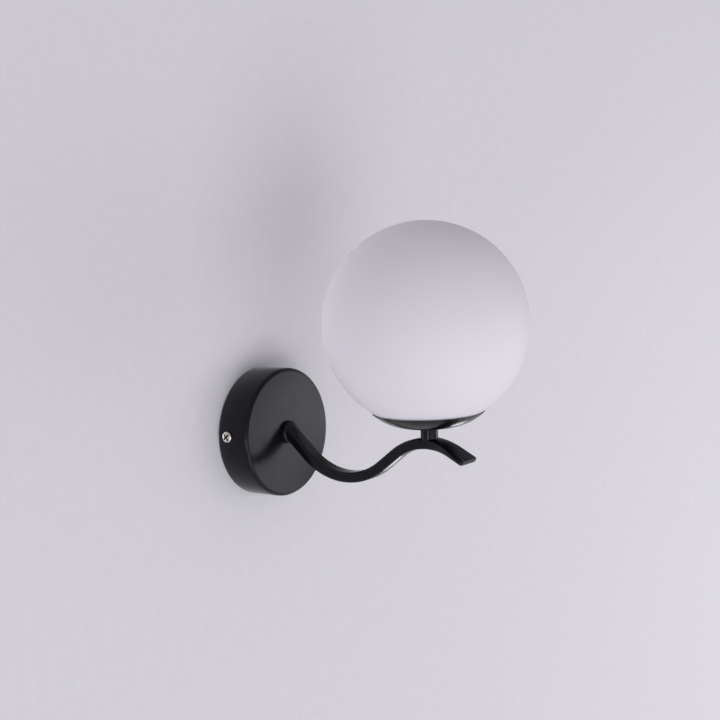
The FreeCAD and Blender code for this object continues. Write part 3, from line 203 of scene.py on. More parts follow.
def soft_box(name, place, size, power, aim=Vector((0, 0, 0))):
    """A square studio light that isn't seen itself and looks at the wall light, or elsewhere."""
    light = bpy.data.lights.new(name, "AREA")
    light.size = size
    light.energy = power
    lamp = bpy.data.objects.new(name, light)
    bpy.context.scene.collection.objects.link(lamp)
    lamp.location = place
    lamp.rotation_euler = (aim - place).to_track_quat("-Z", "Y").to_euler()
    lamp.visible_camera = False


# Places and sizes are in metres, power in watts.  The last one is small and stands behind the
# wall: the dish and the arm's underside mirror it.
soft_box("window_below", Vector((-1.1, -3.0, -1.5)), 2.4, 37)
soft_box("room_right", Vector((1.9, -1.1, -0.15)), 0.62, 1.9)
soft_box("room_left", Vector((-2.15, -0.75, -0.46)), 0.6, 6)
soft_box("wall_wash", Vector((1.1, -1.1, -0.4)), 0.8, 3.6, aim=Vector((1.1, 0, -0.4)))
soft_box("low_right", Vector((0.626, 0.073, -0.472)), 0.1, 0.14)

# ---------------------------------------------------------------- canopy
# The round cup over the wall bracket: drawn from one sheet of steel, its front edge rounded by
# the die, and baked in satin black enamel.  Two screws through its sides hold it to the bracket.
CANOPY_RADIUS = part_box("canopy")[1].x / MM
CANOPY_DEPTH = -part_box("canopy")[0].y / MM
CANOPY_WALL = 1.0
CANOPY_EDGE = 2.8
TUBE_RADIUS = 5.0                    # the threaded tube that passes through it
SHEET_BREAK = 0.25                   # how far a sheared or turned edge is eased

OUT_OF_WALL = Matrix.Rotation(math.radians(90), 4, "X")


def finish(name, tones, roughness, grain, relief, stretch=(1, 1, 1), **shader):
    """A material whose tone and roughness drift between two values over a fine relief.

    The grain is the size of the pattern's features and the relief its depth, in millimetres;
    stretch draws the pattern out, as brushing and drawing do.  The rest goes to the shader.
    """
    material, tree = empty_material(name)
    spot = add(tree, "ShaderNodeTexCoord").outputs["Object"]
    drawn = add(tree, "ShaderNodeMapping", {"Vector": spot, "Scale": stretch}).outputs[0]
    fine = add(tree, "ShaderNodeTexNoise",
               {"Vector": drawn, "Scale": 1 / (grain * MM), "Detail": 3}).outputs[0]
    drift = add(tree, "ShaderNodeTexNoise",
                {"Vector": drawn, "Scale": 1 / (12 * grain * MM), "Detail": 4}).outputs[0]
    tone = add(tree, "ShaderNodeMix", {"Factor": drift, "A": linear(tones[0]),
                                       "B": linear(tones[1])}, data_type="RGBA")
    gloss = add(tree, "ShaderNodeMapRange", {"Value": drift, "From Min": 0.3, "From Max": 0.7,
                                             "To Min": roughness[0], "To Max": roughness[1]})
    bump = add(tree, "ShaderNodeBump", {"Height": fine, "Distance": relief * MM})
    inputs = {"Base Color": tone.outputs["Result"], "Roughness": gloss.outputs[0],
              "Normal": bump.outputs[0]}
    inputs.update({socket.replace("_", " ").title().replace("Ior", "IOR"): value
                   for socket, value in shader.items()})
    surface = add(tree, "ShaderNodeBsdfPrincipled", inputs)
    add(tree, "ShaderNodeOutputMaterial", {"Surface": surface.outputs[0]})
    return material


ENAMEL_TONES = ("#0A090D", "#100F13")
ENAMEL_TINT = "#F9F2FF"
# Satin black enamel, sprayed and baked: an even, slightly violet black with a broad soft shine
# over a very fine orange peel.
BLACK_ENAMEL = finish("satin_black_enamel", ENAMEL_TONES, (0.2, 0.26), 0.9, 0.005,
                      specular_ior_level=0.19, specular_tint=linear(ENAMEL_TINT))


def rounded(outline, steps=6):
    """The points of an outline of (radius, height) corners; a third number rounds the corner."""
    points = []
    for number, corner in enumerate(outline):
        here = Vector(corner[:2])
        if len(corner) == 2:
            points.append(here)
            continue
        before = (Vector(outline[number - 1][:2]) - here).normalized()
        after = (Vector(outline[(number + 1) % len(outline)][:2]) - here).normalized()
        half = before.angle(after) / 2
        centre = here + (before + after).normalized() * corner[2] / math.sin(half)
        first = here + before * corner[2] / math.tan(half) - centre
        last = here + after * corner[2] / math.tan(half) - centre
        for step in range(steps + 1):
            share = step / steps
            swing = math.pi - 2 * half
            points.append(centre + (first * math.sin((1 - share) * swing)
                                    + last * math.sin(share * swing)) / math.sin(swing))
    return points


def arc(centre, radius, start, end, steps):
    """Points of a circular arc in an outline, from one angle in degrees to another."""
    turns = [math.radians(start + (end - start) * step / steps) for step in range(steps + 1)]
    return [(centre[0] + radius * math.cos(turn), centre[1] + radius * math.sin(turn))
            for turn in turns]


def smoothed(shape, name, sharp=38):
    """A bmesh as a mesh, its faces outward and smooth except across sharp edges."""
    bmesh.ops.remove_doubles(shape, verts=shape.verts, dist=1e-7)
    bmesh.ops.recalc_face_normals(shape, faces=shape.faces)
    mesh = bpy.data.meshes.new(name)
    shape.to_mesh(mesh)
    shape.free()
    mesh.shade_smooth()
    mesh.set_sharp_from_angle(angle=math.radians(sharp))
    return mesh


def turned(name, outline, stand, steps=144):
    """The mesh of a closed outline, in millimetres, spun about the Z axis and then stood up."""
    shape = bmesh.new()
    rings = []
    for radius, height in rounded(outline):
        count = steps if radius > 1e-6 else 1
        turns = [2 * math.pi * step / count for step in range(count)]
        rings.append([shape.verts.new(stand @ Vector((radius * math.cos(turn),
                                                      radius * math.sin(turn), height)) * MM)
                      for turn in turns])
    for ring, following in zip(rings, rings[1:] + rings[:1]):
        for step in range(steps):
            corners = [ring[step % len(ring)], ring[(step + 1) % len(ring)],
                       following[(step + 1) % len(following)], following[step % len(following)]]
            corners = list(dict.fromkeys(corners))
            if len(corners) > 2:
                shape.faces.new(corners)
    return smoothed(shape, name)


def fit(piece, body, slot_name, *cad_nodes):
    """Let a piece ride a body in place of its CAD nodes."""
    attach(piece, body)
    if cad_nodes:
        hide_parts(*cad_nodes)
    return piece


canopy = keep(turned("canopy_cup", [
    (CANOPY_RADIUS, 0, SHEET_BREAK), (CANOPY_RADIUS, CANOPY_DEPTH, CANOPY_EDGE),
    (TUBE_RADIUS, CANOPY_DEPTH), (TUBE_RADIUS, CANOPY_DEPTH - CANOPY_WALL),
    (CANOPY_RADIUS - CANOPY_WALL, CANOPY_DEPTH - CANOPY_WALL, CANOPY_EDGE - CANOPY_WALL),
    (CANOPY_RADIUS - CANOPY_WALL, 0, SHEET_BREAK)], OUT_OF_WALL), "canopy_cup", BLACK_ENAMEL)
fit(canopy, "fixture", "black_enamel", "canopy")

# ---------------------------------------------------------------- side screws
# Two nickel-plated pan-head screws, one on each side of the canopy, that run into the ears of the
# wall bracket.  Cold-headed steel with a punched cross recess.
SCREW_DEPTH = 9.2                    # from the wall
SCREW_RISE = 2.7                     # above the canopy's middle
HEAD_RADIUS = 4.2
HEAD_HEIGHT = 2.6
HEAD_EDGE = 1.3
SHOULDER_HEIGHT = 2.08               # where the head's side turns into its crown
CROWN_RADIUS, CROWN_HEIGHT = 1.89, 2.548
SEAT_GAP, SEAT_EDGE = 0.02, 0.2      # between head and canopy, and the head's lower edge
SHANK_RADIUS = 2.0
SHANK_LENGTH = 7.0
SHANK_END = 0.4
CROSS_HALF, CROSS_REACH = 0.7, 2.8   # half a slot's width, and its reach from the middle
FOOT_HALF, FOOT_REACH = 0.56, 1.54   # the same at the recess's foot
CROSS_DEPTH = 1.7
# These heights also pick out the recess faces that get the darker nickel of painted shade.
RECESS_FLOOR, RECESS_RIM = 0.5, 2.418   # the heights between which a head's faces are in it
CROSS_TURN = math.radians(38)

# Nickel plate over a tumbled steel head: bright, warm, with the faint marks of the barrel.
NICKEL = finish("nickel_plate", ("#C8C5BE", "#D6D3CC"), (0.2, 0.32), 0.3, 0.004, metallic=1.0)
# The bottom of the recess, in a darker nickel: painted shade, standing in for the shade that falls in
# the recess.
NICKEL_WITH_PAINTED_SHADE = finish("nickel_painted_recess_shade", ("#33302D", "#44413C"), (0.5, 0.65), 0.3, 0.01,
                       metallic=1.0)


def cross_recess(top):
    """The tapered cross that the punch leaves, as a solid to cut away."""
    shape = bmesh.new()
    slots = (((FOOT_REACH, FOOT_HALF), (CROSS_REACH, CROSS_HALF)),
             ((FOOT_HALF, FOOT_REACH), (CROSS_HALF, CROSS_REACH)))
    for foot, head in slots:
        low, high = [[shape.verts.new(Vector((side_x * half[0], side_y * half[1], height)) * MM)
                      for side_x, side_y in ((-1, -1), (1, -1), (1, 1), (-1, 1))]
                     for half, height in ((foot, top - CROSS_DEPTH), (head, top + CROSS_DEPTH))]
        shape.faces.new(low[::-1])
        shape.faces.new(high)
        for step in range(4):
            following = (step + 1) % 4
            shape.faces.new((low[step], low[following], high[following], high[step]))
    mesh = bpy.data.meshes.new("cross_recess")
    shape.to_mesh(mesh)
    shape.free()
    return mesh


def evaluated(piece):
    """Keep what a piece's modifiers make of it as its plain mesh."""
    made = bpy.data.meshes.new_from_object(
        piece.evaluated_get(bpy.context.evaluated_depsgraph_get()))
    piece.modifiers.clear()
    piece.data = made
    return piece


def cross_head_screw(name):
    """One screw along Z, its head's seat at the origin."""
    screw = keep(turned(name, [
        (0, HEAD_HEIGHT), (CROWN_RADIUS, CROWN_HEIGHT),
        (HEAD_RADIUS, SHOULDER_HEIGHT, HEAD_EDGE), (HEAD_RADIUS, SEAT_GAP, SEAT_EDGE),
        (SHANK_RADIUS, SEAT_GAP), (SHANK_RADIUS, -SHANK_LENGTH, SHANK_END), (0, -SHANK_LENGTH)],
        Matrix.Identity(4), steps=64), name, NICKEL)
    recess = keep(cross_recess(HEAD_HEIGHT), "recess", NICKEL)
    cut = screw.modifiers.new("recess", "BOOLEAN")
    cut.object = recess
    cut.use_self = True
    evaluated(screw)
    bpy.data.objects.remove(recess)
    return screw


def fields(tree, **kinds):
    """Named inputs of a geometry tree, after its geometry input."""
    tree.interface.new_socket("Geometry", in_out="INPUT", socket_type="NodeSocketGeometry")
    for name, kind in kinds.items():
        tree.interface.new_socket(name, in_out="INPUT", socket_type="NodeSocket" + kind)
    tree.interface.new_socket("Geometry", in_out="OUTPUT", socket_type="NodeSocketGeometry")
    return add(tree, "NodeGroupInput").outputs


def ended(tree, geometry, material):
    """The tree's end: real geometry in its material."""
    real = add(tree, "GeometryNodeRealizeInstances", {0: geometry})
    dressed = add(tree, "GeometryNodeSetMaterial", {"Geometry": real.outputs[0],
                                                    "Material": material})
    add(tree, "NodeGroupOutput", {0: dressed.outputs[0]})
    return tree


def grown(name, mesh, tree, material, **values):
    """A piece that a geometry tree makes from a mesh, with the tree's inputs set by name."""
    piece = keep(mesh, name, material)
    step = piece.modifiers.new(name, "NODES")
    step.node_group = tree
    for item in tree.interface.items_tree:
        if item.item_type == "SOCKET" and item.in_out == "INPUT" and item.name in values:
            step[item.identifier] = values[item.name]
    return evaluated(piece)


def screws_on_points(material):
    """A screw on every point, its head turned to the point's heading."""
    tree = bpy.data.node_groups.new("screws_on_points", "GeometryNodeTree")
    given = fields(tree, Screw="Object", Turn="Float")
    screw = add(tree, "GeometryNodeObjectInfo", {"Object": given["Screw"]})
    heading = add(tree, "GeometryNodeInputNamedAttribute", {"Name": "heading"},
                  data_type="FLOAT_VECTOR")
    aim = add(tree, "FunctionNodeAlignRotationToVector", {"Vector": heading.outputs[0]}, axis="Z")
    spin = add(tree, "FunctionNodeAxisAngleToRotation", {"Angle": given["Turn"]})
    turn = add(tree, "FunctionNodeRotateRotation",
               {"Rotation": aim.outputs[0], "Rotate By": spin.outputs[0]}, rotation_space="LOCAL")
    set_out = add(tree, "GeometryNodeInstanceOnPoints",
                  {"Points": given["Geometry"], "Instance": screw.outputs["Geometry"],
                   "Rotation": turn.outputs[0]})
    return ended(tree, set_out.outputs[0], material)


def points_with(name, places, **attributes):
    """A mesh of loose points, in millimetres, that carry vector attributes."""
    mesh = bpy.data.meshes.new(name)
    mesh.from_pydata([Vector(place) * MM for place in places], [], [])
    for label, values in attributes.items():
        layer = mesh.attributes.new(label, "FLOAT_VECTOR", "POINT")
        for number, value in enumerate(values):
            layer.data[number].vector = value
    return mesh


pattern_screw = cross_head_screw("pattern_screw")
side_points = points_with("canopy_side_screws",
                          [(side * CANOPY_RADIUS, -SCREW_DEPTH, SCREW_RISE) for side in (1, -1)],
                          heading=[(1, 0, 0), (-1, 0, 0)])
side_screws = grown("canopy_side_screws", side_points, screws_on_points(NICKEL), NICKEL,
                    Screw=pattern_screw, Turn=CROSS_TURN)
bpy.data.objects.remove(pattern_screw)
# Faces inside the cross recess take the darker nickel: painted shade in the recess.
side_screws.data.materials.append(NICKEL_WITH_PAINTED_SHADE)
for face in side_screws.data.polygons:
    out = abs(face.center.x) / MM - CANOPY_RADIUS
    off = math.hypot(face.center.y / MM + SCREW_DEPTH, face.center.z / MM - SCREW_RISE)
    if off < CROSS_REACH and RECESS_FLOOR < out < RECESS_RIM:
        face.material_index = 1
fit(side_screws, "fixture", "nickel", "canopy_screws")

# ---------------------------------------------------------------- wall bracket and connections
# Behind the canopy: a pressed steel strip with ears for the side screws, a nylon terminal block
# with brass inserts, and the earth screw.  The strip is zinc-plated, with its rolling marks.
ZINC = finish("zinc_plated_steel", ("#A9ABAE", "#BDBFC1"), (0.3, 0.42), 0.4, 0.006,
              stretch=(0.1, 1, 1), metallic=1.0)
# Natural nylon, injection moulded: milky, slightly waxy.
NYLON = finish("natural_nylon", ("#DEDCD3", "#E6E4DC"), (0.4, 0.5), 1.5, 0.01,
               subsurface_weight=0.2, subsurface_radius=(0.002, 0.002, 0.0018))
# Bare turned brass, a little dulled.
BRASS = finish("turned_brass", ("#B99A55", "#C8AA66"), (0.28, 0.4), 0.25, 0.004, metallic=1.0)
# Tinned copper, hot dipped: grey, soft and uneven.
TINNED = finish("tinned_copper", ("#A8A9AB", "#B9BABC"), (0.35, 0.5), 0.8, 0.01, metallic=1.0)


def dress(material, *names):
    """Give CAD nodes their finish."""
    for name in names:
        node = nodes[name]
        if not node.material_slots:
            node.data.materials.append(None)
        for place in node.material_slots:
            place.link = "OBJECT"
            place.material = material


dress(ZINC, "wall_bracket", "terminal_screws", "terminal_block_screw", "earth_screw",
      "earth_washer")
dress(NYLON, "terminal_block")
dress(BRASS, "terminal_inserts")
dress(TINNED, "earth_lug")

# ---------------------------------------------------------------- arm collar and threaded tube
# A short collar turned from steel bar and enamelled with the arm.  A threaded tube runs from it
# through the canopy's face, where a nut and a toothed washer draw the two together.
COLLAR_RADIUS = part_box("arm_collar")[1].x / MM
COLLAR_FRONT = -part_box("arm_collar")[0].y / MM
COLLAR_EDGE = 2.2
COLLAR_BORE = 4.0

arm_collar = keep(turned("turned_collar", [
    (COLLAR_RADIUS, CANOPY_DEPTH, SHEET_BREAK), (COLLAR_RADIUS, COLLAR_FRONT, COLLAR_EDGE),
    (COLLAR_BORE, COLLAR_FRONT), (COLLAR_BORE, CANOPY_DEPTH)], OUT_OF_WALL), "turned_collar",
    BLACK_ENAMEL)
fit(arm_collar, "fixture", "black_enamel", "arm_collar")

# Black resin, injection moulded with a fine spark-eroded texture.
BLACK_RESIN = finish("black_resin", ("#1C1C1C", "#222221"), (0.45, 0.6), 0.5, 0.012)
dress(ZINC, "arm_nipple", "arm_nut", "arm_washer", "holder_nipple", "dish_nut", "dish_washer")
dress(BLACK_RESIN, "nipple_bush")

# ---------------------------------------------------------------- arm
# One length of steel tube: round where it enters the collar, rolled flat along its run, bent down
# and up over the crest, and pinched shut at the tip, whose corners are ground round.
ARM_START = Vector((0, -COLLAR_FRONT, -0.5))
ARM_WIDTH, ARM_HEIGHT, ARM_CORNER = 12.7, 8.0, 2.0
START_WIDTH = 12.2
TIP_WIDTH, TIP_HEIGHT = 21.6, 3.6
TIP_CORNER = 2.2
TIP_EASE = 0.7                       # rounding of the ground end
PROJECTION = 160.0
FIRST_RUN, LAST_RUN = 22.6, 13.8
DROP, RISE, FALL = math.radians(42.4), math.radians(37.3), math.radians(27.5)
LOW_BEND, CREST_BEND = 55.0, 46.0
ROUND_RUN = 16.0                     # over which the round tube is rolled flat
ARM_STEP = 1.0                       # between sections
AROUND = 40                          # points round a section
CORNER_STEPS, EASE_STEPS = 12, 6     # sections over the ground corners and the eased end
LEAST_FLAT = 0.01                    # that is left between two rounded corners
WELD = 0.001                         # points closer than this become one

# The same enamel on drawn tube and spun sheet, whose skin is smoother than the cup's: it lies
# flatter there and shines a little more.
SMOOTH_ENAMEL = finish("smooth_black_enamel", ENAMEL_TONES, (0.17, 0.22), 0.9, 0.003,
                       specular_ior_level=0.22, specular_tint=linear(ENAMEL_TINT))


def ease(share):
    share = min(max(share, 0), 1)
    return share * share * (3 - 2 * share)


def heading(slope):
    return Vector((0, -math.cos(slope), math.sin(slope)))


def upward(slope):
    return Vector((0, math.sin(slope), math.cos(slope)))


def arm_stations():
    """Places along the arm with their slope, as (distance, place, slope)."""
    reach = FIRST_RUN * math.cos(DROP) + LOW_BEND * (math.sin(DROP) + math.sin(RISE))
    middle_run = ((PROJECTION - COLLAR_FRONT - reach - CREST_BEND * math.sin(RISE))
                  / math.cos(RISE))
    runs = [(FIRST_RUN, 0), (LOW_BEND * (DROP + RISE), 1 / LOW_BEND), (middle_run, 0),
            (CREST_BEND * (RISE + FALL), -1 / CREST_BEND), (LAST_RUN, 0)]
    total = sum(length for length, _ in runs)
    stations = [(0, ARM_START.copy(), -DROP)]
    for length, curve in runs:
        count = math.ceil(length / ARM_STEP)
        for _ in range(count):
            distance, place, slope = stations[-1]
            step = length / count
            middle = slope + curve * step / 2
            chord = step * (math.sin(curve * step / 2) / (curve * step / 2) if curve else 1)
            stations.append((distance + step, place + heading(middle) * chord,
                             slope + curve * step))
    return stations, total


def arm_section(distance, total):
    """Width, height and corner radius of the tube at a distance along it."""
    flat = ease(distance / ROUND_RUN)
    width = START_WIDTH + (ARM_WIDTH - START_WIDTH) * flat
    height = START_WIDTH + (ARM_HEIGHT - START_WIDTH) * flat
    corner = START_WIDTH / 2 + (ARM_CORNER - START_WIDTH / 2) * flat
    pinch_from = total - LAST_RUN - CREST_BEND * FALL
    pinched = ease((distance - pinch_from) / (total - pinch_from))
    width += (TIP_WIDTH - ARM_WIDTH) * pinched
    height += (TIP_HEIGHT - ARM_HEIGHT) * pinched
    corner += (TIP_HEIGHT / 2 - ARM_CORNER) * pinched
    left = total - distance
    if left < TIP_CORNER:
        width -= 2 * (TIP_CORNER - math.sqrt(TIP_CORNER ** 2 - (TIP_CORNER - left) ** 2))
    if left < TIP_EASE:
        height -= 2 * (TIP_EASE - math.sqrt(TIP_EASE ** 2 - (TIP_EASE - left) ** 2))
    return width, height, min(corner, height / 2 - LEAST_FLAT)


def lofted_tube(material):
    """A closed skin through a row of points that carry a width, a height and a corner radius."""
    tree = bpy.data.node_groups.new("lofted_tube", "GeometryNodeTree")
    given = fields(tree, Around="Int")
    count = add(tree, "GeometryNodeAttributeDomainSize", {0: given["Geometry"]})
    columns = add(tree, "ShaderNodeMath", {0: given["Around"], 1: 1.0}, operation="ADD")
    grid = add(tree, "GeometryNodeMeshGrid",
               {"Vertices X": count.outputs["Point Count"], "Vertices Y": columns.outputs[0]})
    index = add(tree, "GeometryNodeInputIndex").outputs[0]
    row = add(tree, "ShaderNodeMath", {0: index, 1: columns.outputs[0]}, operation="DIVIDE")
    row = add(tree, "ShaderNodeMath", {0: row.outputs[0]}, operation="FLOOR").outputs[0]
    column = add(tree, "ShaderNodeMath", {0: index, 1: columns.outputs[0]}, operation="MODULO")
    shifted = add(tree, "ShaderNodeMath", {0: column.outputs[0], 1: 0.5}, operation="ADD")
    turn = add(tree, "ShaderNodeMath", {0: shifted.outputs[0], 1: given["Around"]},
               operation="DIVIDE")
    turn = add(tree, "ShaderNodeMath", {0: turn.outputs[0], 1: 2 * math.pi},
               operation="MULTIPLY").outputs[0]

    def at_row(label):
        """What the row's own point carries."""
        carried = (add(tree, "GeometryNodeInputNamedAttribute", {"Name": label},
                       data_type="FLOAT_VECTOR") if label
                   else add(tree, "GeometryNodeInputPosition")).outputs[0]
        return add(tree, "GeometryNodeSampleIndex",
                   {"Geometry": given["Geometry"], "Value": carried, "Index": row},
                   data_type="FLOAT_VECTOR").outputs[0]

    size = add(tree, "ShaderNodeSeparateXYZ", {0: at_row("section")}).outputs
    offsets = []
    for wave, span in (("COSINE", size["X"]), ("SINE", size["Y"])):
        swing = add(tree, "ShaderNodeMath", {0: turn}, operation=wave).outputs[0]
        side = add(tree, "ShaderNodeMath", {0: swing}, operation="SIGN").outputs[0]
        inset = add(tree, "ShaderNodeMath", {0: span, 1: 0.5, 2: size["Z"]},
                    operation="MULTIPLY_ADD")
        rounding = add(tree, "ShaderNodeMath", {0: size["Z"], 1: 2.0}, operation="MULTIPLY")
        inset = add(tree, "ShaderNodeMath", {0: inset.outputs[0], 1: rounding.outputs[0]},
                    operation="SUBTRACT")
        flat = add(tree, "ShaderNodeMath", {0: side, 1: inset.outputs[0]}, operation="MULTIPLY")
        offsets.append(add(tree, "ShaderNodeMath", {0: swing, 1: size["Z"], 2: flat.outputs[0]},
                           operation="MULTIPLY_ADD").outputs[0])
    across = add(tree, "ShaderNodeCombineXYZ", {"X": offsets[0]}).outputs[0]
    rise = add(tree, "ShaderNodeVectorMath", {0: at_row("upward"), "Scale": offsets[1]},
               operation="SCALE").outputs[0]
    outward = add(tree, "ShaderNodeVectorMath", {0: across, 1: rise}, operation="ADD")
    place = add(tree, "ShaderNodeVectorMath", {0: at_row(None), 1: outward.outputs[0]},
                operation="ADD")
    skin = add(tree, "GeometryNodeSetPosition",
               {"Geometry": grid.outputs["Mesh"], "Position": place.outputs[0]})
    closed = add(tree, "GeometryNodeMergeByDistance",
                 {"Geometry": skin.outputs[0], "Distance": WELD * MM})
    return ended(tree, closed.outputs[0], material)


def arm_rows():
    """The arm's sections, closer together towards the tip and drawn to a point at both ends.

    They begin a tube's width before the arm does, so that it can be sawn off square to the wall.
    """
    stations, total = arm_stations()
    fine = [station for station in stations if total - station[0] > TIP_CORNER + WELD]
    last_place, last_slope = stations[-1][1:]
    ends = [TIP_CORNER * math.cos(math.pi / 2 * step / CORNER_STEPS) ** 2
            for step in range(CORNER_STEPS + 1)]
    ends += [TIP_EASE * math.cos(math.pi / 2 * step / EASE_STEPS) ** 2
             for step in range(1, EASE_STEPS)]
    for left in sorted(ends, reverse=True):
        fine.append((total - left, last_place - heading(last_slope) * left, last_slope))
    fine.insert(0, (-START_WIDTH, ARM_START - heading(-DROP) * START_WIDTH, -DROP))
    places = [place for _, place, _ in fine]
    sections = [Vector(arm_section(distance, total)) * MM for distance, _, _ in fine]
    slopes = [slope for _, _, slope in fine]
    point = Vector((0, 0, 0))
    return points_with("arm_tube", [places[0]] + places + [places[-1]],
                       section=[point] + sections + [point],
                       upward=[upward(slope) for slope in [slopes[0]] + slopes + [slopes[-1]]])


arm_tube = grown("arm_tube", arm_rows(), lofted_tube(SMOOTH_ENAMEL), SMOOTH_ENAMEL, Around=AROUND)
shape = bmesh.new()
shape.from_mesh(arm_tube.data)
sawn = bmesh.ops.bisect_plane(
    shape, geom=shape.verts[:] + shape.edges[:] + shape.faces[:], dist=1e-7,
    plane_co=ARM_START * MM, plane_no=(0, 1, 0), clear_outer=True)["geom_cut"]
bmesh.ops.holes_fill(shape, edges=[part for part in sawn if isinstance(part, bmesh.types.BMEdge)])
arm_tube.data = smoothed(shape, "arm_tube", sharp=30)
arm_tube.data.materials.append(SMOOTH_ENAMEL)
fit(arm_tube, "fixture", "black_enamel", "arm")

# ---------------------------------------------------------------- wires
# Two stranded wires with coloured sleeves run whole from the terminal block through the arm to the
# lampholder, and a short green and yellow one earths the canopy's bracket.
SLEEVES = {"live_wire": ("brown_sleeve", "#5A3A26", "#64422C"),
           "neutral_wire": ("blue_sleeve", "#2A4E94", "#3158A0"),
           "earth_wire": ("green_sleeve", "#5B8A34", "#67963C")}
for wire, (colour, dark, pale) in SLEEVES.items():
    # Soft extruded sleeve: even, with a dull shine.
    dress(finish(colour, (dark, pale), (0.38, 0.46), 0.8, 0.004), wire)

# ---------------------------------------------------------------- post and dish
# A short turned post is welded on the crest, and a dish spun from thin sheet sits on it and
# follows the underside of the globe.  Both are enamelled with the arm.
GLOBE_AXIS = Matrix.Translation(Vector((0, -PROJECTION, 0)))
POST_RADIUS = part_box("post")[1].x / MM
POST_FOOT = 1.0
DISH_WALL = 0.8
DISH_FLOOR_RADIUS = 13.0
DISH_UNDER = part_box("dish")[0].z / MM
RIM_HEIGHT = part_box("dish")[1].z / MM
RIM_INSIDE = 39.7
DISH_STEPS = 24

dish_run = RIM_INSIDE - DISH_FLOOR_RADIUS
dish_rise = RIM_HEIGHT - DISH_UNDER - DISH_WALL
dish_curve = (dish_run ** 2 + dish_rise ** 2) / (2 * dish_rise)
dish_centre = (DISH_FLOOR_RADIUS, DISH_UNDER + DISH_WALL + dish_curve)
inner_end = -90 + math.degrees(math.asin(dish_run / dish_curve))
outer_end = -90 + math.degrees(math.acos((dish_curve - dish_rise) / (dish_curve + DISH_WALL)))

post = keep(turned("turned_post", [
    (COLLAR_BORE, POST_FOOT), (POST_RADIUS, POST_FOOT), (POST_RADIUS, DISH_UNDER, SHEET_BREAK),
    (COLLAR_BORE, DISH_UNDER)], GLOBE_AXIS), "turned_post", SMOOTH_ENAMEL)
fit(post, "fixture", "black_enamel", "post")
dish = keep(turned("spun_dish", [
    (TUBE_RADIUS, DISH_UNDER), *arc(dish_centre, dish_curve + DISH_WALL, -90, outer_end, DISH_STEPS),
    *arc(dish_centre, dish_curve, inner_end, -90, DISH_STEPS), (TUBE_RADIUS, DISH_UNDER + DISH_WALL)],
    GLOBE_AXIS), "spun_dish", SMOOTH_ENAMEL)
fit(dish, "fixture", "black_enamel", "dish")

# ---------------------------------------------------------------- globe's spring and seal
# A spider of spring strip, clamped by the dish's nut, bows its three tongues out against the edge
# of the glass, which rests on a ring of soft silicone in the dish.
SPRING_STEEL = finish("spring_strip", ("#8E9297", "#A2A6AA"), (0.25, 0.36), 0.3, 0.004,
                      stretch=(1, 1, 0.15), metallic=1.0)
dress(SPRING_STEEL, "globe_spring")
# Milky cast silicone.
SILICONE = finish("milky_silicone", ("#C9CACB", "#D2D3D4"), (0.5, 0.6), 1.0, 0.01,
                  subsurface_weight=0.3, subsurface_radius=(0.002, 0.002, 0.002))
dress(SILICONE, "globe_seal")

# ---------------------------------------------------------------- lampholder
# A screw lampholder stands on the threaded tube: a black resin base and sleeve round a glazed
# ceramic core, with a brass screw shell and contacts.
HOLDER_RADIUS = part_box("holder_skirt")[1].x / MM
HOLDER_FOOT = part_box("holder_base")[0].z / MM
CORE_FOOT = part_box("holder_core")[0].z / MM
CORE_FLANGE = 2.0
SKIRT_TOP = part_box("holder_skirt")[1].z / MM
SKIRT_WALL = 2.0
LIP_INSIDE = 15.0
LIP_DEPTH = 2.5
HOLDER_SHOULDER = 6.0

holder_base = keep(turned("holder_base_cup", [
    (TUBE_RADIUS, HOLDER_FOOT), (HOLDER_RADIUS, HOLDER_FOOT, HOLDER_SHOULDER),
    (HOLDER_RADIUS, CORE_FOOT, SHEET_BREAK), (HOLDER_RADIUS - SKIRT_WALL, CORE_FOOT),
    (HOLDER_RADIUS - SKIRT_WALL, HOLDER_FOOT + SKIRT_WALL, HOLDER_SHOULDER - SKIRT_WALL),
    (TUBE_RADIUS, HOLDER_FOOT + SKIRT_WALL)], GLOBE_AXIS), "holder_base_cup", BLACK_RESIN)
fit(holder_base, "fixture", "black_resin", "holder_base")
skirt_foot = CORE_FOOT + CORE_FLANGE
holder_skirt = keep(turned("holder_sleeve", [
    (HOLDER_RADIUS - SKIRT_WALL, skirt_foot), (HOLDER_RADIUS, skirt_foot, SHEET_BREAK),
    (HOLDER_RADIUS, SKIRT_TOP, SKIRT_WALL / 2), (LIP_INSIDE, SKIRT_TOP, SHEET_BREAK),
    (LIP_INSIDE, SKIRT_TOP - LIP_DEPTH, SHEET_BREAK),
    (HOLDER_RADIUS - SKIRT_WALL, SKIRT_TOP - LIP_DEPTH)], GLOBE_AXIS), "holder_sleeve",
    BLACK_RESIN)
fit(holder_skirt, "fixture", "black_resin", "holder_skirt")
# Steatite with a clear white glaze.
CERAMIC = finish("glazed_steatite", ("#E2DFD6", "#EAE7DF"), (0.12, 0.2), 3.0, 0.02,
                 coat_weight=0.3, coat_roughness=0.08)
dress(CERAMIC, "holder_core")
dress(BRASS, "centre_contact", "holder_terminals", "holder_rivets")
dress(ZINC, "holder_terminal_screws")

# ---------------------------------------------------------------- screw shell and lamp cap
# The lampholder's brass shell and the lamp's cap are both rolled from thin sheet with the same
# round screw thread, the shell a little wider, so the lamp turns up and out of it.
THREAD_PITCH = 3.629
SHELL_INSIDE, SHELL_SHEET = 13.5, 0.4
CAP_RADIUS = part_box("lamp_cap")[1].x / MM
CAP_SHEET = 0.2
THREAD_DEPTH = 0.55
THREAD_AROUND, ROWS_A_TURN = 96, 12
GLOBE_AXIS_METRES = Matrix.Translation(Vector((0, -PROJECTION, 0)) * MM)


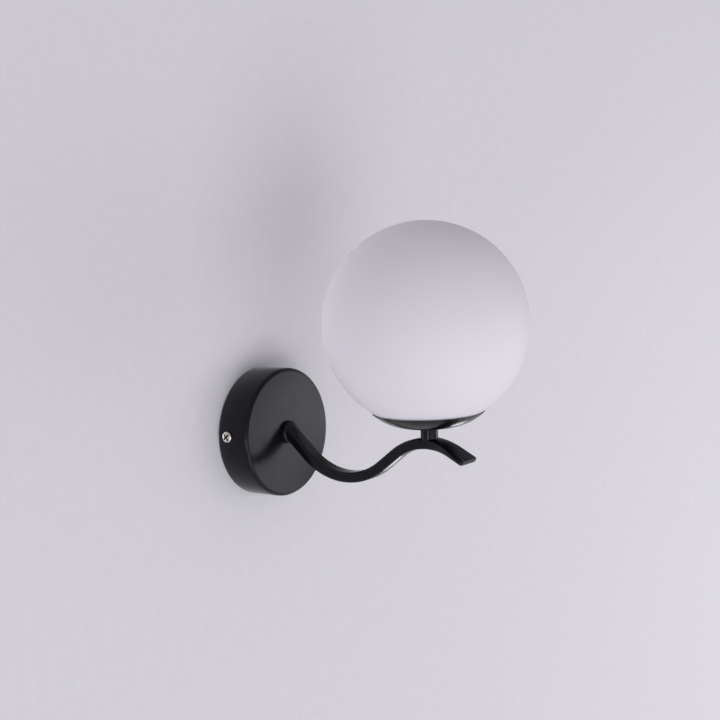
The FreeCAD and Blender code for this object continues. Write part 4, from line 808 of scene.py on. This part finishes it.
def rolled_thread(material):
    """A sleeve round the Z axis whose wall waves in and out along a screw thread."""
    tree = bpy.data.node_groups.new("rolled_thread", "GeometryNodeTree")
    given = fields(tree, Radius="Float", Height="Float", Foot="Float", Pitch="Float",
                   Depth="Float", Around="Int", Rows="Int")
    columns = add(tree, "ShaderNodeMath", {0: given["Around"], 1: 1.0}, operation="ADD")
    grid = add(tree, "GeometryNodeMeshGrid",
               {"Size X": 1.0, "Size Y": 1.0, "Vertices X": given["Rows"],
                "Vertices Y": columns.outputs[0]})
    spot = add(tree, "ShaderNodeSeparateXYZ",
               {0: add(tree, "GeometryNodeInputPosition").outputs[0]}).outputs
    up = add(tree, "ShaderNodeMath", {0: spot["X"], 1: 0.5}, operation="ADD").outputs[0]
    height = add(tree, "ShaderNodeMath", {0: up, 1: given["Height"]}, operation="MULTIPLY")
    turn = add(tree, "ShaderNodeMath", {0: spot["Y"], 1: 2 * math.pi}, operation="MULTIPLY")
    climb = add(tree, "ShaderNodeMath", {0: height.outputs[0], 1: given["Pitch"]},
                operation="DIVIDE")
    phase = add(tree, "ShaderNodeMath", {0: climb.outputs[0], 1: spot["Y"]},
                operation="SUBTRACT")
    phase = add(tree, "ShaderNodeMath", {0: phase.outputs[0], 1: 2 * math.pi},
                operation="MULTIPLY")
    wave = add(tree, "ShaderNodeMath", {0: phase.outputs[0]}, operation="COSINE")
    wave = add(tree, "ShaderNodeMath", {0: wave.outputs[0], 1: 0.5, 2: -0.5},
               operation="MULTIPLY_ADD")
    radius = add(tree, "ShaderNodeMath", {0: wave.outputs[0], 1: given["Depth"],
                                          2: given["Radius"]}, operation="MULTIPLY_ADD")
    sides = [add(tree, "ShaderNodeMath", {0: turn.outputs[0]}, operation=kind).outputs[0]
             for kind in ("COSINE", "SINE")]
    flat = [add(tree, "ShaderNodeMath", {0: side, 1: radius.outputs[0]},
                operation="MULTIPLY").outputs[0] for side in sides]
    stand = add(tree, "ShaderNodeMath", {0: height.outputs[0], 1: given["Foot"]},
                operation="ADD")
    place = add(tree, "ShaderNodeCombineXYZ", {"X": flat[0], "Y": flat[1], "Z": stand.outputs[0]})
    rolled = add(tree, "GeometryNodeSetPosition",
                 {"Geometry": grid.outputs["Mesh"], "Position": place.outputs[0]})
    closed = add(tree, "GeometryNodeMergeByDistance",
                 {"Geometry": rolled.outputs[0], "Distance": WELD * MM})
    return ended(tree, closed.outputs[0], material)


def threaded_sleeve(name, material, low, high, radius, depth, sheet):
    """A sleeve with its sheet's thickness inwards, standing on the globe's axis."""
    rows = round((high - low) / THREAD_PITCH * ROWS_A_TURN)
    sleeve = grown(name, bpy.data.meshes.new(name), rolled_thread(material), material,
                   Radius=radius * MM, Height=(high - low) * MM, Foot=low * MM,
                   Pitch=THREAD_PITCH * MM, Depth=depth * MM, Around=THREAD_AROUND, Rows=rows)
    shape = bmesh.new()
    shape.from_mesh(sleeve.data)
    shape.transform(GLOBE_AXIS_METRES)
    sleeve.data = smoothed(shape, name, sharp=60)
    sleeve.data.materials.append(material)
    wall = sleeve.modifiers.new("sheet", "SOLIDIFY")
    wall.thickness = sheet * MM
    wall.offset = -1
    wall.use_even_offset = True
    evaluated(sleeve)
    sleeve.data.materials.clear()
    sleeve.data.materials.append(material)
    return sleeve


shell_low, shell_high = (corner.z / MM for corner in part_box("thread_shell"))
shell_thread = threaded_sleeve("screw_shell", BRASS, shell_low, shell_high,
                               SHELL_INSIDE + SHELL_SHEET, SHELL_SHEET / 2, SHELL_SHEET / 2)
fit(shell_thread, "fixture", "brass", "thread_shell")
cap_low, cap_high = (corner.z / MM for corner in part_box("lamp_cap"))
cap_thread = threaded_sleeve("lamp_screw_cap", NICKEL, cap_low, cap_high, CAP_RADIUS,
                             THREAD_DEPTH, CAP_SHEET)
fit(cap_thread, "lamp", "nickel", "lamp_cap")

# ---------------------------------------------------------------- lamp
# A light-emitting lamp: a white moulded neck on the cap, an opal dome snapped on it, and inside
# them a coated aluminium board with its chips and a driver board.
LAMP_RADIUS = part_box("lamp_housing")[1].x / MM
HOUSING_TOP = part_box("lamp_housing")[1].z / MM
DOME_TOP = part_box("lamp_dome")[1].z / MM
LAMP_WALL = 1.2
NECK_FOOT = CAP_RADIUS - 0.3
NECK_SHOULDER, NECK_RIM = 3.0, 2.4   # its rounding, and the straight rim above it
DOME_STEPS = 32

# White moulded plastic with a fine matt texture.
WHITE_PLASTIC = finish("white_moulded_plastic", ("#E4E3E0", "#EBEAE7"), (0.35, 0.45), 0.8, 0.01)
# Opal diffusing plastic, blow moulded: satin and milky.
OPAL_PLASTIC = finish("opal_plastic", ("#E6E6E6", "#EBEBEB"), (0.4, 0.48), 4.0, 0.01,
                      subsurface_weight=0.4, subsurface_radius=(0.004, 0.004, 0.004))
housing = keep(turned("lamp_neck", [
    (NECK_FOOT, cap_high), (NECK_FOOT + LAMP_WALL, cap_high),
    (LAMP_RADIUS, HOUSING_TOP - NECK_RIM, NECK_SHOULDER), (LAMP_RADIUS, HOUSING_TOP, SHEET_BREAK),
    (LAMP_RADIUS - LAMP_WALL, HOUSING_TOP),
    (LAMP_RADIUS - LAMP_WALL, HOUSING_TOP - NECK_RIM)], GLOBE_AXIS), "lamp_neck",
    WHITE_PLASTIC)
fit(housing, "lamp", "white_plastic", "lamp_housing")
dome_centre = (0, DOME_TOP - LAMP_RADIUS)
dome_inside = LAMP_RADIUS - LAMP_WALL
dome = keep(turned("lamp_opal_dome", [
    (dome_inside, HOUSING_TOP), (LAMP_RADIUS, HOUSING_TOP, SHEET_BREAK),
    *arc(dome_centre, LAMP_RADIUS, 0, 90, DOME_STEPS),
    *arc(dome_centre, dome_inside, 90, 0, DOME_STEPS)],
    GLOBE_AXIS), "lamp_opal_dome", OPAL_PLASTIC)
fit(dome, "lamp", "opal_plastic", "lamp_dome")
# Black vitrified glass, pressed.
BLACK_GLASS = finish("black_cap_glass", ("#121214", "#17171A"), (0.08, 0.15), 2.0, 0.01)
# White-coated aluminium board.
COATED_BOARD = finish("coated_aluminium", ("#D9D9D8", "#E0E0DF"), (0.4, 0.5), 0.6, 0.005)
# Yellow phosphor cast over each chip.
PHOSPHOR = finish("yellow_phosphor", ("#D6B94F", "#DFC45E"), (0.5, 0.6), 0.4, 0.01)
# Green solder mask on a glass-fibre board.
SOLDER_MASK = finish("green_solder_mask", ("#1F5A38", "#256642"), (0.25, 0.35), 0.5, 0.01)
dress(TINNED, "lamp_tip_contact")
dress(BLACK_GLASS, "lamp_insulator")
dress(COATED_BOARD, "led_board")
dress(PHOSPHOR, "led_chips")
dress(SOLDER_MASK, "driver_board")
dress(BLACK_RESIN, "driver_capacitor")

# ---------------------------------------------------------------- globe
# The globe is blown opal glass, acid-frosted outside, with a fire-polished edge round the opening
# at its bottom.  It drops over the spring's tongues and lifts straight off.
GLOBE_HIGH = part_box("globe")[1].z / MM
GLOBE_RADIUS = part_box("globe")[1].x / MM
GLASS_WALL = 3.0
GLASS_INSIDE = GLOBE_RADIUS - GLASS_WALL
OPENING_RADIUS = 28.0
LIP_ROUNDING = 0.9
OUTSIDE_STEPS, INSIDE_STEPS = 120, 110
SOAKING_SHARE = 0.5                  # of the light that goes into the glass and through it


def soaked(material, share, tint):
    """Let a share of the light soak through a material and scatter out of its far side."""
    tree = material.node_tree
    end = next(node for node in tree.nodes if node.bl_idname == "ShaderNodeOutputMaterial")
    surface = end.inputs["Surface"].links[0].from_socket
    through = add(tree, "ShaderNodeBsdfTranslucent", {"Color": linear(tint)})
    both = add(tree, "ShaderNodeMixShader", {0: share, 1: surface, 2: through.outputs[0]})
    tree.links.new(both.outputs[0], end.inputs["Surface"])
    return material


# Acid-frosted opal glass: milk white all through, matt, with a faint cool tint.  Light soaks
# through it and evens out inside the globe.
OPAL_GLASS = soaked(finish("frosted_opal_glass", ("#EEECF0", "#F0EEF2"), (0.5, 0.56), 2.5, 0.004),
                    SOAKING_SHARE, "#FAF9FC")
globe_centre = (0, GLOBE_HIGH - GLOBE_RADIUS)
outer_mouth = -math.degrees(math.acos(OPENING_RADIUS / GLOBE_RADIUS))
inner_mouth = -math.degrees(math.acos(OPENING_RADIUS / GLASS_INSIDE))
outside = arc(globe_centre, GLOBE_RADIUS, outer_mouth, 90, OUTSIDE_STEPS)
inside = arc(globe_centre, GLASS_INSIDE, 90, inner_mouth, INSIDE_STEPS)
globe = keep(turned("opal_globe", [(*outside[0], LIP_ROUNDING), *outside[1:], *inside[:-1],
                                   (*inside[-1], LIP_ROUNDING)], GLOBE_AXIS, steps=192),
             "opal_globe", OPAL_GLASS)
fit(globe, "globe", "opal_glass", "globe")
